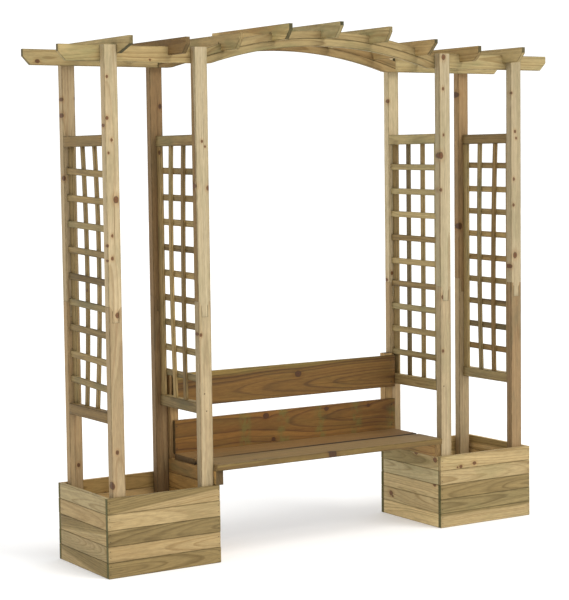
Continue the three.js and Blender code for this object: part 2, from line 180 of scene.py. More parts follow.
def timber_group():
    """Softwood sawn from a log: growth rings about a wandering pith, seen wherever the board's faces cut them."""
    g, a, out = group(
        "SawnSoftwood",
        [("P", "v"), ("Knot", "f"), ("Edge", "f"), ("Cap", "f"), ("PithV", "f"), ("PithW", "f"), ("Taper", "f"),
         ("Wander", "f"), ("Rings", "f"), ("Seed", "f"), ("HeartR", "f"), ("HeartSoft", "f"), ("Contrast", "f"),
         ("Bands", "f"), ("Green", "f"), ("Stain", "f"), ("KnotCount", "f"), ("EdgeDirtShade", "f"),
         ("Lean", "f"), ("Marks", "f"), ("SapLight", "c"), ("SapDark", "c"), ("HeartLight", "c"), ("HeartDark", "c"),
         ("GreenColour", "c"), ("EndColour", "c")],
        [("Colour", "c"), ("Roughness", "f"), ("Height", "f")],
    )
    p = a["P"]
    u, v, w = g.xyz(p)
    shift = g.vec(g.m("MULTIPLY", a["Seed"], 3.17), g.m("MULTIPLY", a["Seed"], 1.73), g.m("MULTIPLY", a["Seed"], 2.41))
    q = g.v("ADD", p, shift)
    qu, qv, qw = g.xyz(q)

    # knots that come anywhere along the stick, passing through its thickness
    cells = g.new("ShaderNodeTexVoronoi", voronoi_dimensions="2D", feature="F1")
    g.put(cells.inputs["Vector"], g.vec(qu, qv, 0.0))
    cells.inputs["Scale"].default_value = 6.0
    cr, cg, cb = g.xyz(cells.outputs["Color"])
    size = g.ramp(cg, 0.0, 1.0, 0.0035, 0.0095, smoothly=False)
    there = g.m("LESS_THAN", cr, a["KnotCount"])
    away = g.m("DIVIDE", g.m("MULTIPLY", cells.outputs["Distance"], 1 / 6.0), size)
    free = g.m("ADD", away, g.m("MULTIPLY", g.m("SUBTRACT", 1.0, there), 50.0))
    lumpy = g.m("MULTIPLY", g.m("SUBTRACT", g.noise(q, 130, 2), 0.5), 0.35)
    knot = g.m("ADD", g.m("MINIMUM", a["Knot"], free), lumpy)

    # distance from the pith, which wanders and climbs along the stick
    low = g.noise(g.v("MULTIPLY", q, (1.1, 3.0, 3.0)), 1.0, 2.0, color=True)
    lr, lg, lb = g.xyz(low)
    pv = g.m("ADD", g.m("MULTIPLY_ADD", u, a["Lean"], a["PithV"]),
             g.m("MULTIPLY", g.m("SUBTRACT", lr, 0.5), a["Wander"]))
    pw = g.m("ADD", g.m("MULTIPLY_ADD", u, a["Taper"], a["PithW"]),
             g.m("MULTIPLY", g.m("SUBTRACT", lg, 0.5), a["Wander"]))
    dv, dw = g.m("SUBTRACT", v, pv), g.m("SUBTRACT", w, pw)
    r0 = g.m("SQRT", g.m("ADD", g.m("MULTIPLY", dv, dv), g.m("MULTIPLY", dw, dw)))
    ripple = g.m("MULTIPLY", g.m("SUBTRACT", g.noise(g.v("MULTIPLY", q, (4.0, 26.0, 26.0)), 1.0, 3.0), 0.5), 0.0045)
    fine = g.m("MULTIPLY", g.m("SUBTRACT", g.noise(g.v("MULTIPLY", q, (11.0, 120.0, 120.0)), 1.0, 2.0), 0.5), 0.0012)
    swell = g.m("DIVIDE", 0.010, g.m("ADD", 1.0, g.m("MULTIPLY", knot, knot)))
    r = g.m("ADD", g.m("ADD", r0, ripple), g.m("ADD", fine, swell))

    # rings: pale earlywood that darkens into a thin latewood line
    uneven = g.m("MULTIPLY", g.noise(None, 55.0, 2.0, dims="1D", w=g.m("ADD", r, a["Seed"])), 1.3)
    phase = g.m("MULTIPLY_ADD", r, a["Rings"], uneven)
    saw = g.m("FRACT", phase)
    late = g.curve(saw, [(0.0, 0.10), (0.30, 0.0), (0.62, 0.25), (0.86, 1.0), (0.95, 0.75), (1.0, 0.12)])
    pick = g.new("ShaderNodeTexWhiteNoise", noise_dimensions="1D")
    g.put(pick.inputs["W"], g.m("FLOOR", phase))
    strength = g.ramp(pick.outputs["Value"], 0.0, 1.0, 0.45, 1.0, smoothly=False)
    ring = g.m("MULTIPLY", late, strength)
    band = g.ramp(g.noise(None, 32.0, 3.0, 0.6, dims="1D", w=g.m("ADD", r, g.m("MULTIPLY", a["Seed"], 2.0))),
                  0.32, 0.68)
    dark = g.m("ADD", g.m("MULTIPLY", ring, a["Contrast"]), g.m("MULTIPLY", band, a["Bands"]), clamp=True)

    # fibres, and the little dark dashes of resin canals
    fibre = g.noise(g.v("MULTIPLY", q, (7.0, 620.0, 620.0)), 1.0, 3.0, 0.6)
    streak = g.noise(g.v("MULTIPLY", q, (2.6, 95.0, 95.0)), 1.0, 3.0, 0.6)
    dash = g.ramp(g.noise(g.v("MULTIPLY", q, (55.0, 1300.0, 1300.0)), 1.0, 1.0), 0.70, 0.78)

    sap = g.mix(dark, a["SapLight"], a["SapDark"])
    heart = g.mix(dark, a["HeartLight"], a["HeartDark"])
    # the heart's edge follows the rings, a little blurred
    inside = g.ramp(g.m("SUBTRACT", g.m("ADD", r, g.m("MULTIPLY", g.m("SUBTRACT", lb, 0.5), 0.02)), a["HeartR"]),
                    g.m("MULTIPLY", a["HeartSoft"], -1.0), a["HeartSoft"], 1.0, 0.0)
    c = g.mix(inside, sap, heart)

    # preservative taken up unevenly: green where the sapwood is open, strongest in blotches
    blot = g.noise(g.v("MULTIPLY", q, (3.4, 11.0, 11.0)), 1.0, 4.0, 0.62)
    green = g.m("MULTIPLY", g.ramp(blot, 0.46, 0.70), g.m("MULTIPLY", a["Green"], g.m("SUBTRACT", 1.0, g.m("MULTIPLY", inside, 0.55))))
    c = g.mix(green, c, a["GreenColour"])
    # pale green patches at even distances, where the stacked boards lay on sticks in the treatment
    wave = g.m("COSINE", g.m("MULTIPLY", g.m("ADD", u, 0.035), 6.2832 / 0.215))
    patch = g.ramp(g.noise(g.v("MULTIPLY", q, (34.0, 20.0, 20.0)), 1.0, 4.0, 0.6), 0.40, 0.62)
    marks = g.m("MULTIPLY", g.m("MULTIPLY", g.ramp(wave, 0.35, 0.95), patch), a["Marks"])
    c = g.mix(marks, c, a["GreenColour"])
    # brown and grey stains, long and soft
    soil = g.ramp(g.noise(g.v("MULTIPLY", q, (1.9, 15.0, 15.0)), 1.0, 4.0, 0.6), 0.50, 0.76)
    c = g.tint(g.m("MULTIPLY", soil, a["Stain"]), c, (0.50, 0.43, 0.33, 1), "MULTIPLY")

    # fibres lighten and darken
    f = g.m("ADD", g.m("MULTIPLY", g.m("SUBTRACT", fibre, 0.5), 0.30), g.m("MULTIPLY", g.m("SUBTRACT", streak, 0.5), 0.48))
    # short flecks a few millimetres wide
    fleck = g.noise(g.v("MULTIPLY", q, (24.0, 170.0, 170.0)), 1.0, 3.0, 0.65)
    f = g.m("ADD", f, g.m("MULTIPLY", g.m("SUBTRACT", fleck, 0.5), 0.68))
    c = g.v("SCALE", c, scale=g.m("ADD", 1.0, f))
    c = g.tint(g.m("MULTIPLY", dash, 0.30), c, (0.45, 0.36, 0.26, 1), "MULTIPLY")

    # knots: red-brown, ringed, with a dark bark line
    eye = g.noise(None, 3.2, 1.0, dims="1D", w=knot)
    knot_colour = g.mix(eye, lin(76, 46, 20), lin(130, 84, 44))
    knot_colour = g.v("SCALE", knot_colour, scale=g.m("MULTIPLY", g.xyz(a["SapLight"])[1], 2.5))
    heartknot = g.mix(g.ramp(knot, 0.0, 0.6, 0.55, 0.0), knot_colour, lin(52, 30, 18))
    c = g.mix(g.ramp(knot, 0.85, 1.12, 0.92, 0.0), c, heartknot)
    rim = g.m("MULTIPLY", g.ramp(knot, 0.80, 1.0), g.ramp(knot, 1.05, 1.35, 1.0, 0.0))
    c = g.mix(g.m("MULTIPLY", rim, 0.55), c, lin(36, 26, 14))
    halo = g.ramp(knot, 1.0, 3.2, 0.38, 0.0)
    c = g.tint(halo, c, (0.80, 0.56, 0.36, 1), "MULTIPLY")

    # arrises: rubbed, with dirt caught along them, and darkened as painted shade like the shadow in a joint
    edge_dirt_shade_noise = g.noise(g.v("MULTIPLY", q, (26.0, 60.0, 60.0)), 1.0, 3.0)
    e = g.m("MULTIPLY", a["Edge"], g.ramp(edge_dirt_shade_noise, 0.30, 0.62, 0.35, 1.0))
    c = g.tint(g.m("MULTIPLY", e, a["EdgeDirtShade"]), c, (0.40, 0.39, 0.28, 1), "MULTIPLY")

    # end grain drinks more preservative and goes dark green; on cut slopes that face down, Cap also carries painted
    # shade
    endmix = g.mix(g.m("MULTIPLY", ring, 0.8), a["EndColour"], g.v("SCALE", a["EndColour"], scale=0.45))
    speck = g.noise(g.v("MULTIPLY", q, (40.0, 420.0, 420.0)), 1.0, 3.0, 0.65)
    endmix = g.v("SCALE", endmix, scale=g.ramp(speck, 0.25, 0.75, 0.62, 1.35, smoothly=False))
    c = g.mix(g.m("MULTIPLY", a["Cap"], 0.92), c, endmix)
    g.put(out["Colour"], c)

    # roughness
    ro = g.m("ADD", 0.74, g.m("MULTIPLY", g.m("SUBTRACT", fibre, 0.5), 0.30))
    ro = g.m("ADD", ro, g.m("MULTIPLY", ring, -0.10))
    ro = g.m("ADD", ro, g.m("MULTIPLY", a["Cap"], 0.14))
    ro = g.m("SUBTRACT", ro, g.ramp(knot, 0.9, 1.1, 0.18, 0.0), clamp=True)
    g.put(out["Roughness"], ro)

    # relief in units of a millimetre: raised latewood, fibres, saw marks across the grain, proud knots
    chatter = g.noise(g.v("MULTIPLY", q, (210.0, 9.0, 9.0)), 1.0, 2.0)
    h = g.m("ADD", g.m("MULTIPLY", ring, 0.16), g.m("MULTIPLY", fibre, 0.34))
    h = g.m("ADD", h, g.m("MULTIPLY", streak, 0.22))
    h = g.m("ADD", h, g.m("MULTIPLY", chatter, 0.20))
    h = g.m("ADD", h, g.ramp(knot, 0.7, 1.2, 0.16, 0.0))
    h = g.m("SUBTRACT", h, g.m("MULTIPLY", dash, 0.12))
    h = g.m("ADD", h, g.m("MULTIPLY", g.m("MULTIPLY", a["Cap"], speck), 0.7))
    g.put(out["Height"], h)
    return g.tree


TIMBER = timber_group()

# Base looks. Light and dark are earlywood and latewood; sap is the outer wood, heart the inner.
LOOKS = {
    "post": dict(SapLight=lin(184, 166, 131), SapDark=lin(150, 125, 88), HeartLight=lin(172, 147, 112),
                 HeartDark=lin(132, 103, 69), GreenColour=lin(140, 132, 96), EndColour=lin(100, 94, 62),
                 Rings=120.0, Contrast=0.64, Bands=0.28, Green=0.35, Stain=0.20, HeartR=0.045, HeartSoft=0.006,
                 Taper=0.012, Wander=0.05, KnotCount=0.06, EdgeDirtShade=0.70, Lean=0.0, Marks=0.0),
    "board": dict(SapLight=lin(176, 153, 109), SapDark=lin(138, 113, 70), HeartLight=lin(142, 122, 79),
                  HeartDark=lin(100, 81, 43), GreenColour=lin(122, 118, 76), EndColour=lin(88, 86, 50),
                  Rings=95.0, Contrast=0.76, Bands=0.26, Green=0.30, Stain=0.22, HeartR=0.03, HeartSoft=0.004,
                  Taper=0.05, Wander=0.05, KnotCount=0.05, EdgeDirtShade=0.70, Lean=0.0, Marks=0.0),
    "roof": dict(SapLight=lin(171, 150, 104), SapDark=lin(134, 110, 67), HeartLight=lin(152, 130, 86),
                 HeartDark=lin(110, 87, 49), GreenColour=lin(122, 119, 78), EndColour=lin(62, 60, 36),
                 Rings=100.0, Contrast=0.76, Bands=0.36, Green=0.55, Stain=0.42, HeartR=0.03, HeartSoft=0.005,
                 Taper=0.03, Wander=0.05, KnotCount=0.06, EdgeDirtShade=0.8, Lean=0.0, Marks=0.0),
    "lath": dict(SapLight=lin(166, 149, 105), SapDark=lin(118, 100, 62), HeartLight=lin(140, 121, 80),
                 HeartDark=lin(98, 79, 46), GreenColour=lin(108, 105, 70), EndColour=lin(70, 66, 42),
                 Rings=150.0, Contrast=0.58, Bands=0.40, Green=0.50, Stain=0.45, HeartR=0.025, HeartSoft=0.006,
                 Taper=0.01, Wander=0.05, KnotCount=0.06, EdgeDirtShade=1.0, Lean=0.0, Marks=0.0),
    "bench": dict(SapLight=lin(156, 134, 90), SapDark=lin(114, 87, 52), HeartLight=lin(133, 106, 68),
                  HeartDark=lin(94, 67, 38), GreenColour=lin(112, 104, 64), EndColour=lin(76, 62, 38),
                  Rings=85.0, Contrast=0.68, Bands=0.35, Green=0.25, Stain=0.35, HeartR=0.06, HeartSoft=0.008,
                  Taper=0.03, Wander=0.08, KnotCount=0.05, EdgeDirtShade=0.7, Lean=0.0, Marks=0.0),
    "back": dict(SapLight=lin(144, 121, 66), SapDark=lin(92, 69, 31), HeartLight=lin(124, 92, 45),
                 HeartDark=lin(74, 50, 22), GreenColour=lin(102, 97, 47), EndColour=lin(66, 56, 30),
                 Rings=75.0, Contrast=0.70, Bands=0.46, Green=0.32, Stain=0.40, HeartR=0.07, HeartSoft=0.01,
                 Taper=0.03, Wander=0.08, KnotCount=0.05, EdgeDirtShade=0.7, Lean=0.0, Marks=0.0),
    "floor": dict(SapLight=lin(130, 112, 78), SapDark=lin(98, 80, 52), HeartLight=lin(116, 96, 64),
                  HeartDark=lin(82, 64, 40), GreenColour=lin(92, 90, 58), EndColour=lin(66, 60, 38),
                  Rings=80.0, Contrast=0.50, Bands=0.40, Green=0.50, Stain=0.60, HeartR=0.05, HeartSoft=0.01,
                  Taper=0.02, Wander=0.08, KnotCount=0.10, EdgeDirtShade=0.6, Lean=0.0, Marks=0.0),
}

SAP = dict(HeartR=-0.2)
HEART = dict(HeartR=0.6)


def shade(colour, k, warm=0.0):
    r, g, b, a = colour
    return (min(1, r * k * (1 + warm)), min(1, g * k), min(1, b * k * (1 - warm)), a)


def timber_material(name, look, knots=(), pith=None, light=1.0, warm=0.0, seed=None, **changes):
    """A material of its own for one stick. knots are (u, v, w, radius) in millimetres in the stick's own axes."""
    rnd = seeded(name)
    s = dict(LOOKS[look])
    s["Seed"] = rnd.uniform(1, 40) if seed is None else seed
    s["PithV"], s["PithW"] = pith or (rnd.uniform(-0.03, 0.03), rnd.choice((-1, 1)) * rnd.uniform(0.012, 0.06))
    k = light * rnd.uniform(0.97, 1.03)
    tone = warm + rnd.uniform(-0.015, 0.015)
    for key in ("SapLight", "SapDark", "HeartLight", "HeartDark"):
        s[key] = shade(s[key], k, tone)
    s["GreenColour"] = shade(s["GreenColour"], k)
    s.update(changes)
    mat = bpy.data.materials.new("timber_" + name)
    mat.use_nodes = True
    g = Tree(mat.node_tree)
    g.nodes.clear()
    where = g.new("ShaderNodeAttribute", attribute_name="grain")
    edge = g.new("ShaderNodeAttribute", attribute_name="arris")
    cap = g.new("ShaderNodeAttribute", attribute_name="endgrain")
    body = g.new("ShaderNodeGroup", node_tree=TIMBER)
    g.put(body.inputs["P"], where.outputs["Vector"])
    g.put(body.inputs["Edge"], edge.outputs["Fac"])
    g.put(body.inputs["Cap"], cap.outputs["Fac"])
    near = None
    for ku, kv, kw, radius in knots:
        d = g.v("SUBTRACT", where.outputs["Vector"], (ku * MM, kv * MM, kw * MM))
        d = g.v("MULTIPLY", d, (1000 / radius / 1.25, 1000 / radius, 1000 / radius * 0.35))
        d = g.v("LENGTH", d)
        near = d if near is None else g.m("MINIMUM", near, d)
    g.put(body.inputs["Knot"], near if near is not None else 90.0)
    for key, value in s.items():
        body.inputs[key].default_value = value
    shader = g.new("ShaderNodeBsdfPrincipled")
    shader.inputs["Specular IOR Level"].default_value = 0.32
    g.put(shader.inputs["Base Color"], body.outputs["Colour"])
    g.put(shader.inputs["Roughness"], body.outputs["Roughness"])
    bump = g.new("ShaderNodeBump")
    bump.inputs["Strength"].default_value = 0.55
    bump.inputs["Distance"].default_value = 0.0008
    g.put(bump.inputs["Height"], body.outputs["Height"])
    g.put(shader.inputs["Normal"], bump.outputs["Normal"])
    end = g.new("ShaderNodeOutputMaterial")
    g.put(end.inputs["Surface"], shader.outputs["BSDF"])
    return mat


def screw_material():
    mat = bpy.data.materials.new("screw_metal")
    mat.use_nodes = True
    g = Tree(mat.node_tree)
    g.nodes.clear()
    co = g.new("ShaderNodeTexCoord").outputs["Object"]
    n = g.noise(co, 420.0, 3.0)
    m = g.noise(co, 60.0, 2.0)
    c = g.mix(g.ramp(n, 0.35, 0.7), lin(84, 74, 56), lin(44, 38, 30))
    c = g.mix(g.ramp(m, 0.52, 0.75), c, lin(104, 74, 46))
    shader = g.new("ShaderNodeBsdfPrincipled")
    shader.inputs["Metallic"].default_value = 0.75
    g.put(shader.inputs["Base Color"], c)
    g.put(shader.inputs["Roughness"], g.ramp(n, 0.3, 0.7, 0.42, 0.68))
    bump = g.new("ShaderNodeBump")
    bump.inputs["Strength"].default_value = 0.3
    bump.inputs["Distance"].default_value = 0.0003
    g.put(bump.inputs["Height"], n)
    g.put(shader.inputs["Normal"], bump.outputs["Normal"])
    end = g.new("ShaderNodeOutputMaterial")
    g.put(end.inputs["Surface"], shader.outputs["BSDF"])
    return mat


# ---------------------------------------------------------------- sticks of timber

AXES = {"x": Vector((1, 0, 0)), "y": Vector((0, 1, 0)), "z": Vector((0, 0, 1))}


def side_steps(length, radius, inner, splits, slot=()):
    """Places along one side of a section between its rounded corners, as fractions, with a triple at each split
    and a pair at each edge of a slot."""
    flat = max(length - 2 * radius, 1e-5)
    e = min(0.18, 0.0028 / flat)
    steps = [e] + [e + (1 - 2 * e) * (i + 1) / (inner + 1) for i in range(inner)] + [1 - e]
    marks = [(s, None) for s in steps]
    for k, f in enumerate(slot):
        away = (-1 if k == 0 else 1) * 0.0016 / flat
        marks = [(s, t) for s, t in marks if abs(s - f) > 0.004 / flat]
        marks += [(f, "edge%d" % k), (f + away, None)]
    for k, f in splits:
        half = 0.0004 / flat
        marks = [(s, t) for s, t in marks if abs(s - f) > 4 * half]
        marks += [(f - half, (k, -1)), (f, (k, 0)), (f + half, (k, 1))]
    return sorted(marks)


def new_mesh():
    """An empty bmesh with the layers that every stick carries."""
    bm = bmesh.new()
    bm.verts.layers.float.new("arris")
    bm.verts.layers.float_vector.new("grain")
    bm.faces.layers.float.new("endgrain")
    bm.loops.layers.uv.new("OFBake")
    return bm


def finish_stick(name, bm, centre, materials, nodes):
    """Turns the bmesh into a piece that rides on the frame and stands for its nodes."""
    bmesh.ops.delete(bm, geom=[v for v in bm.verts if not v.link_faces], context="VERTS")
    bmesh.ops.recalc_face_normals(bm, faces=bm.faces)
    mesh = bpy.data.meshes.new(name)
    bm.to_mesh(mesh)
    bm.free()
    mesh.set_sharp_from_angle(angle=math.radians(50))
    obj = bpy.data.objects.new(name, mesh)
    obj.location = Vector(centre) * MM
    bpy.context.scene.collection.objects.link(obj)
    for material in materials:
        mesh.materials.append(material)
    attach(obj, "root")
    if nodes:
        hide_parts(*nodes)
    return obj


def stick(name, centre, length, width, thick, axes, look, nodes, slot, material=None, shape=None, **rest):
    """A sawn stick as a piece of its own. What isn't the shape's is the paint's."""
    keys = ("lower", "upper", "stations", "radius", "splits", "bow", "rough", "step", "inner", "cut", "place",
            "grain", "end_ease", "fork", "caps", "cut_grain_shade")
    bm = new_mesh()
    loft(bm, name, length, width, thick, axes, **{k: v for k, v in rest.items() if k in keys})
    paint = {k: v for k, v in rest.items() if k not in keys}
    return finish_stick(name, bm, centre, [material or timber_material(name, look, **paint)], nodes)


def loft(bm, name, length, width, thick, axes, lower=None, upper=None, stations=None, radius=1.6, splits=(), bow=0.0,
         rough=0.12, step=22.0, inner=(3, 1), cut=None, place=None, grain=None, end_ease=0.9, fork=None,
         span=(0.0, 1.0), index=0, caps=(1.0, 1.0), cut_grain_shade=(0.6, 0.6)):
    """Adds a sawn stick to bm: length, width and thickness in mm run along the three axes, e.g. "zxy". lower(u) and
    upper(u) give how far its edges lie inside -width/2 and width/2, for notches, tongues and cut ends. splits are
    drying cracks: (face +1/-1, v mm, from u, to u, gap mm, depth mm). fork is (from u, half width) of a slot that
    runs through the thickness to the far end. span is its share of the map. caps, and the darkness given for the cut
    slope, say how dark the end grain is at either end, on the square end and on the slope that cut(u) marks; on a
    slope that faces down this darkness also holds painted shade."""
    rnd = seeded(name)
    seed = rnd.uniform(0, 90)
    U, V, W = (AXES[a] for a in axes)
    hl, hw, ht = length / 2, width / 2, thick / 2
    # stations along the stick
    count = max(6, round(length / step))
    us = {round(-hl + end_ease + (length - 2 * end_ease) * i / count, 3) for i in range(count + 1)}
    for extra in stations or ():
        us = {s for s in us if abs(s - extra) > 1.1 or abs(abs(s) - (hl - end_ease)) < 0.01}
        us.add(extra)
    us = sorted(us)
    rows = [(-hl, True)] + [(s, False) for s in us] + [(hl, True)]

    by_face = {1: [], -1: []}
    for k, sp in enumerate(splits):
        by_face[sp[0]].append((k, (sp[1] + hw - radius) / (2 * (hw - radius)) if sp[0] > 0
                               else 1 - (sp[1] + hw - radius) / (2 * (hw - radius))))
    slot = ()
    if fork:
        slot = tuple((x + hw - radius) / (2 * (hw - radius)) for x in (fork[1], -fork[1]))[::-1]
    sides = [  # steps along each side of the section
        side_steps(width * MM, radius * MM, inner[0], by_face[1], slot),
        side_steps(thick * MM, radius * MM, inner[1], ()),
        side_steps(width * MM, radius * MM, inner[0], by_face[-1], slot),
        side_steps(thick * MM, radius * MM, inner[1], ()),
    ]
    # which points of the ring are the slot's edges
    edges = {}
    n = 0
    for k in range(4):
        for _, tag in sides[k]:
            if isinstance(tag, str):
                edges[(k, tag)] = n
            n += 1
        n += 3

    def ring(s, ends):
        v0, v1 = -hw + (lower(s) if lower else 0.0), hw - (upper(s) if upper else 0.0)
        e = end_ease if ends else 0.0
        bv = bow * wobble(seed, s * MM, 1.3, 3.0)
        bw = bow * wobble(seed, s * MM, 1.1, 9.0)
        out = []
        corners = [(v1, ht, 0), (v1, -ht, 1), (v0, -ht, 2), (v0, ht, 3)]
        starts = [(v0, ht), (v1, ht), (v1, -ht), (v0, -ht)]
        for k in range(4):
            a, b = starts[k], starts[(k + 1) % 4]
            d = ((b[0] - a[0]), (b[1] - a[1]))
            n = math.hypot(*d) or 1.0
            d = (d[0] / n, d[1] / n)
            inward = (d[1], -d[0]) if False else (-d[1], d[0])
            # interior of this side
            mid = ((v0 + v1) / 2, 0.0)
            if (mid[0] - a[0]) * inward[0] + (mid[1] - a[1]) * inward[1] < 0:
                inward = (-inward[0], -inward[1])
            rr = min(radius, n * 0.3)
            for f, tag in sides[k]:
                t = rr + (n - 2 * rr) * f
                x, y = a[0] + d[0] * t, a[1] + d[1] * t
                depth = rough * (0.5 + 0.5 * noise.noise(Vector((s * MM * 9, t * MM * 45 + k * 7.7, seed))))
                dirt_and_shade = 0.0
                # slot edges are marked for the arris tint: dirt and painted shade along the joint
                if isinstance(tag, str):
                    if s > fork[0] - 0.5:
                        dirt_and_shade = 1.0
                        depth += 0.35
                elif tag is not None:
                    sp = splits[tag[0]]
                    if sp[2] < s < sp[3] and not ends:
                        g = math.sin(math.pi * (s - sp[2]) / (sp[3] - sp[2])) ** 0.6
                        g *= 0.72 + 0.28 * wobble(seed, s * MM, 60.0, 1.0)
                        if tag[1] == 0:
                            depth += sp[5] * g
                        else:
                            x += d[0] * tag[1] * sp[4] * 0.5 * g
                            y += d[1] * tag[1] * sp[4] * 0.5 * g
                        wander = 0.9 * wobble(seed, s * MM, 14.0, 5.0 + tag[0])
                        x += d[0] * wander
                        y += d[1] * wander
                out.append((x + inward[0] * (depth + e), y + inward[1] * (depth + e), dirt_and_shade))
            # rounded corner after this side
            c = b
            nd = (starts[(k + 2) % 4][0] - b[0], starts[(k + 2) % 4][1] - b[1])
            m = math.hypot(*nd) or 1.0
            nd = (nd[0] / m, nd[1] / m)
            r = min(radius, n * 0.3, m * 0.3) * (1.0 + 0.45 * noise.noise(Vector((s * MM * 16, k * 5.0, seed + 3))))
            cx, cy = c[0] - d[0] * r + nd[0] * r, c[1] - d[1] * r + nd[1] * r
            for ang in (0.0, 0.5, 1.0):
                t = ang * math.pi / 2
                ox = -nd[0] * math.cos(t) * r + d[0] * math.sin(t) * r
                oy = -nd[1] * math.cos(t) * r + d[1] * math.sin(t) * r
                px, py = cx + ox, cy + oy
                px += (cx - px) * 0 - (px - mid[0]) / max(abs(px - mid[0]), 1) * e
                py += -(py - mid[1]) / max(abs(py - mid[1]), 1) * e
                out.append((px, py, 1.0))
        return [(x + bv, y + bw, a) for x, y, a in out]

    # where each ring point lies round the section, for the map
    flat = ring(0.0, False)
    around = [0.0]
    for i in range(1, len(flat) + 1):
        p, q = flat[i - 1], flat[i % len(flat)]
        around.append(around[-1] + math.hypot(p[0] - q[0], p[1] - q[1]))
    around = [x / around[-1] for x in around]

    def put(s, v, w):
        if place:
            return place(s, v, w)
        return U * s + V * v + W * w

    arris = bm.verts.layers.float["arris"]
    g_layer = bm.verts.layers.float_vector["grain"]
    endg = bm.faces.layers.float["endgrain"]
    uv = bm.loops.layers.uv["OFBake"]

    def lay(f, points):
        f.material_index = index
        for loop, (x, y) in zip(f.loops, points):
            loop[uv].uv = (span[0] + (span[1] - span[0]) * x, y)

    rings, flats = [], []
    for s, ends in rows:
        pts = ring(s, ends)
        made = []
        for v, w, a in pts:
            vert = bm.verts.new(put(s, v, w) * MM)
            vert[arris] = 1.0 if (ends and a) else a * 0.9
            vert[g_layer] = Vector(grain(s, v, w) if grain else (s, v, w)) * MM
            made.append(vert)
        rings.append(made)
        flats.append([(v, w) for v, w, _ in pts])
    n = len(flat)
    first_d = sum(len(sides[k]) for k in range(3)) + 9
    open_ = []
    if fork:
        a0, a1 = edges[(0, "edge0")], edges[(0, "edge1")]
        b0, b1 = edges[(2, "edge0")], edges[(2, "edge1")]
        open_ = list(range(a0, a1)) + list(range(b0, b1))
    for j in range(len(rings) - 1):
        s0, s1 = rows[j][0], rows[j + 1][0]
        forked = fork and s0 > fork[0] - 0.05
        if forked:
            for p, q in ((a0, b1), (a1, b0)):
                f = bm.faces.new((rings[j][p], rings[j][q], rings[j + 1][q], rings[j + 1][p]))
                f.smooth = False
                x0, x1 = (0.012 + 0.976 * (x + hl) / length for x in (s0, s1))
                lay(f, ((x0, 0.986), (x0, 0.998), (x1, 0.998), (x1, 0.986)))
            if not rows[j - 1][0] > fork[0] - 0.05:
                f = bm.faces.new(rings[j][a0:a1 + 1] + rings[j][b0:b1 + 1])
                f[endg] = 1.0
                f.smooth = False
                lay(f, [(0.02 + 0.01 * m / len(f.verts), 0.986 + 0.01 * (m % 2)) for m in range(len(f.verts))])
        for i in range(n):
            k = (i + 1) % n
            if forked and i in open_:
                continue
            f = bm.faces.new((rings[j][i], rings[j][k], rings[j + 1][k], rings[j + 1][i]))
            f.smooth = True
            if rows[j][1] or rows[j + 1][1]:
                f[endg] = 0.6 * caps[0 if rows[j][1] else 1]
            if cut and i >= first_d - 2 and cut((s0 + s1) / 2):
                f[endg] = cut_grain_shade[0 if s0 < 0 else 1]
            us_ = [0.012 + 0.976 * (x + hl) / length for x in (s0, s0, s1, s1)]
            vs_ = [0.012 + 0.82 * x for x in (around[i], around[i + 1], around[i + 1], around[i])]
            lay(f, zip(us_, vs_))
    ends = [(rings[0], flats[0], 0.02, True), (rings[-1], flats[-1], 0.52, False)]
    if fork:
        last, fl = ends.pop()[:2]
        for keep in (list(range(a1, b0 + 1)), list(range(b1, n)) + list(range(0, a0 + 1))):
            ends.append(([last[i] for i in keep], [fl[i] for i in keep], 0.52, False))
    for made, fl, x0, flip in ends:
        f = bm.faces.new(list(reversed(made)) if flip else made)
        f[endg] = caps[0 if flip else 1]
        f.smooth = False
        fl = list(reversed(fl)) if flip else fl
        lay(f, [(x0 + 0.44 * (v + hw) / width, 0.86 + 0.12 * (w + ht) / thick) for v, w in fl])


# ---------------------------------------------------------------- sizes, in mm, as in the frame

BOARD, WALL = 70.0, 20.0
PLANTER_IN, PLANTER_OUT, PLANTER_Y = 618.0, 1178.0, 248.0
POST_X, POST_Y, POST_TOP = 63.0, 38.0, 2291.0
POST_INNER, POST_OUTER = 638.3 + 31.5, 1141.7 - 31.5
POST_MID_Y = 227.7 - 19.0
SPLICE_Z = 1175.0
PANEL_HALF = 189.4
BEAM_LOW, BEAM_TOP = 2221.0, 2291.0
ARCH_CENTRE, ARCH_LOW, ARCH_TOP = 261.0, 2050.0, 2120.0

# ---------------------------------------------------------------- posts

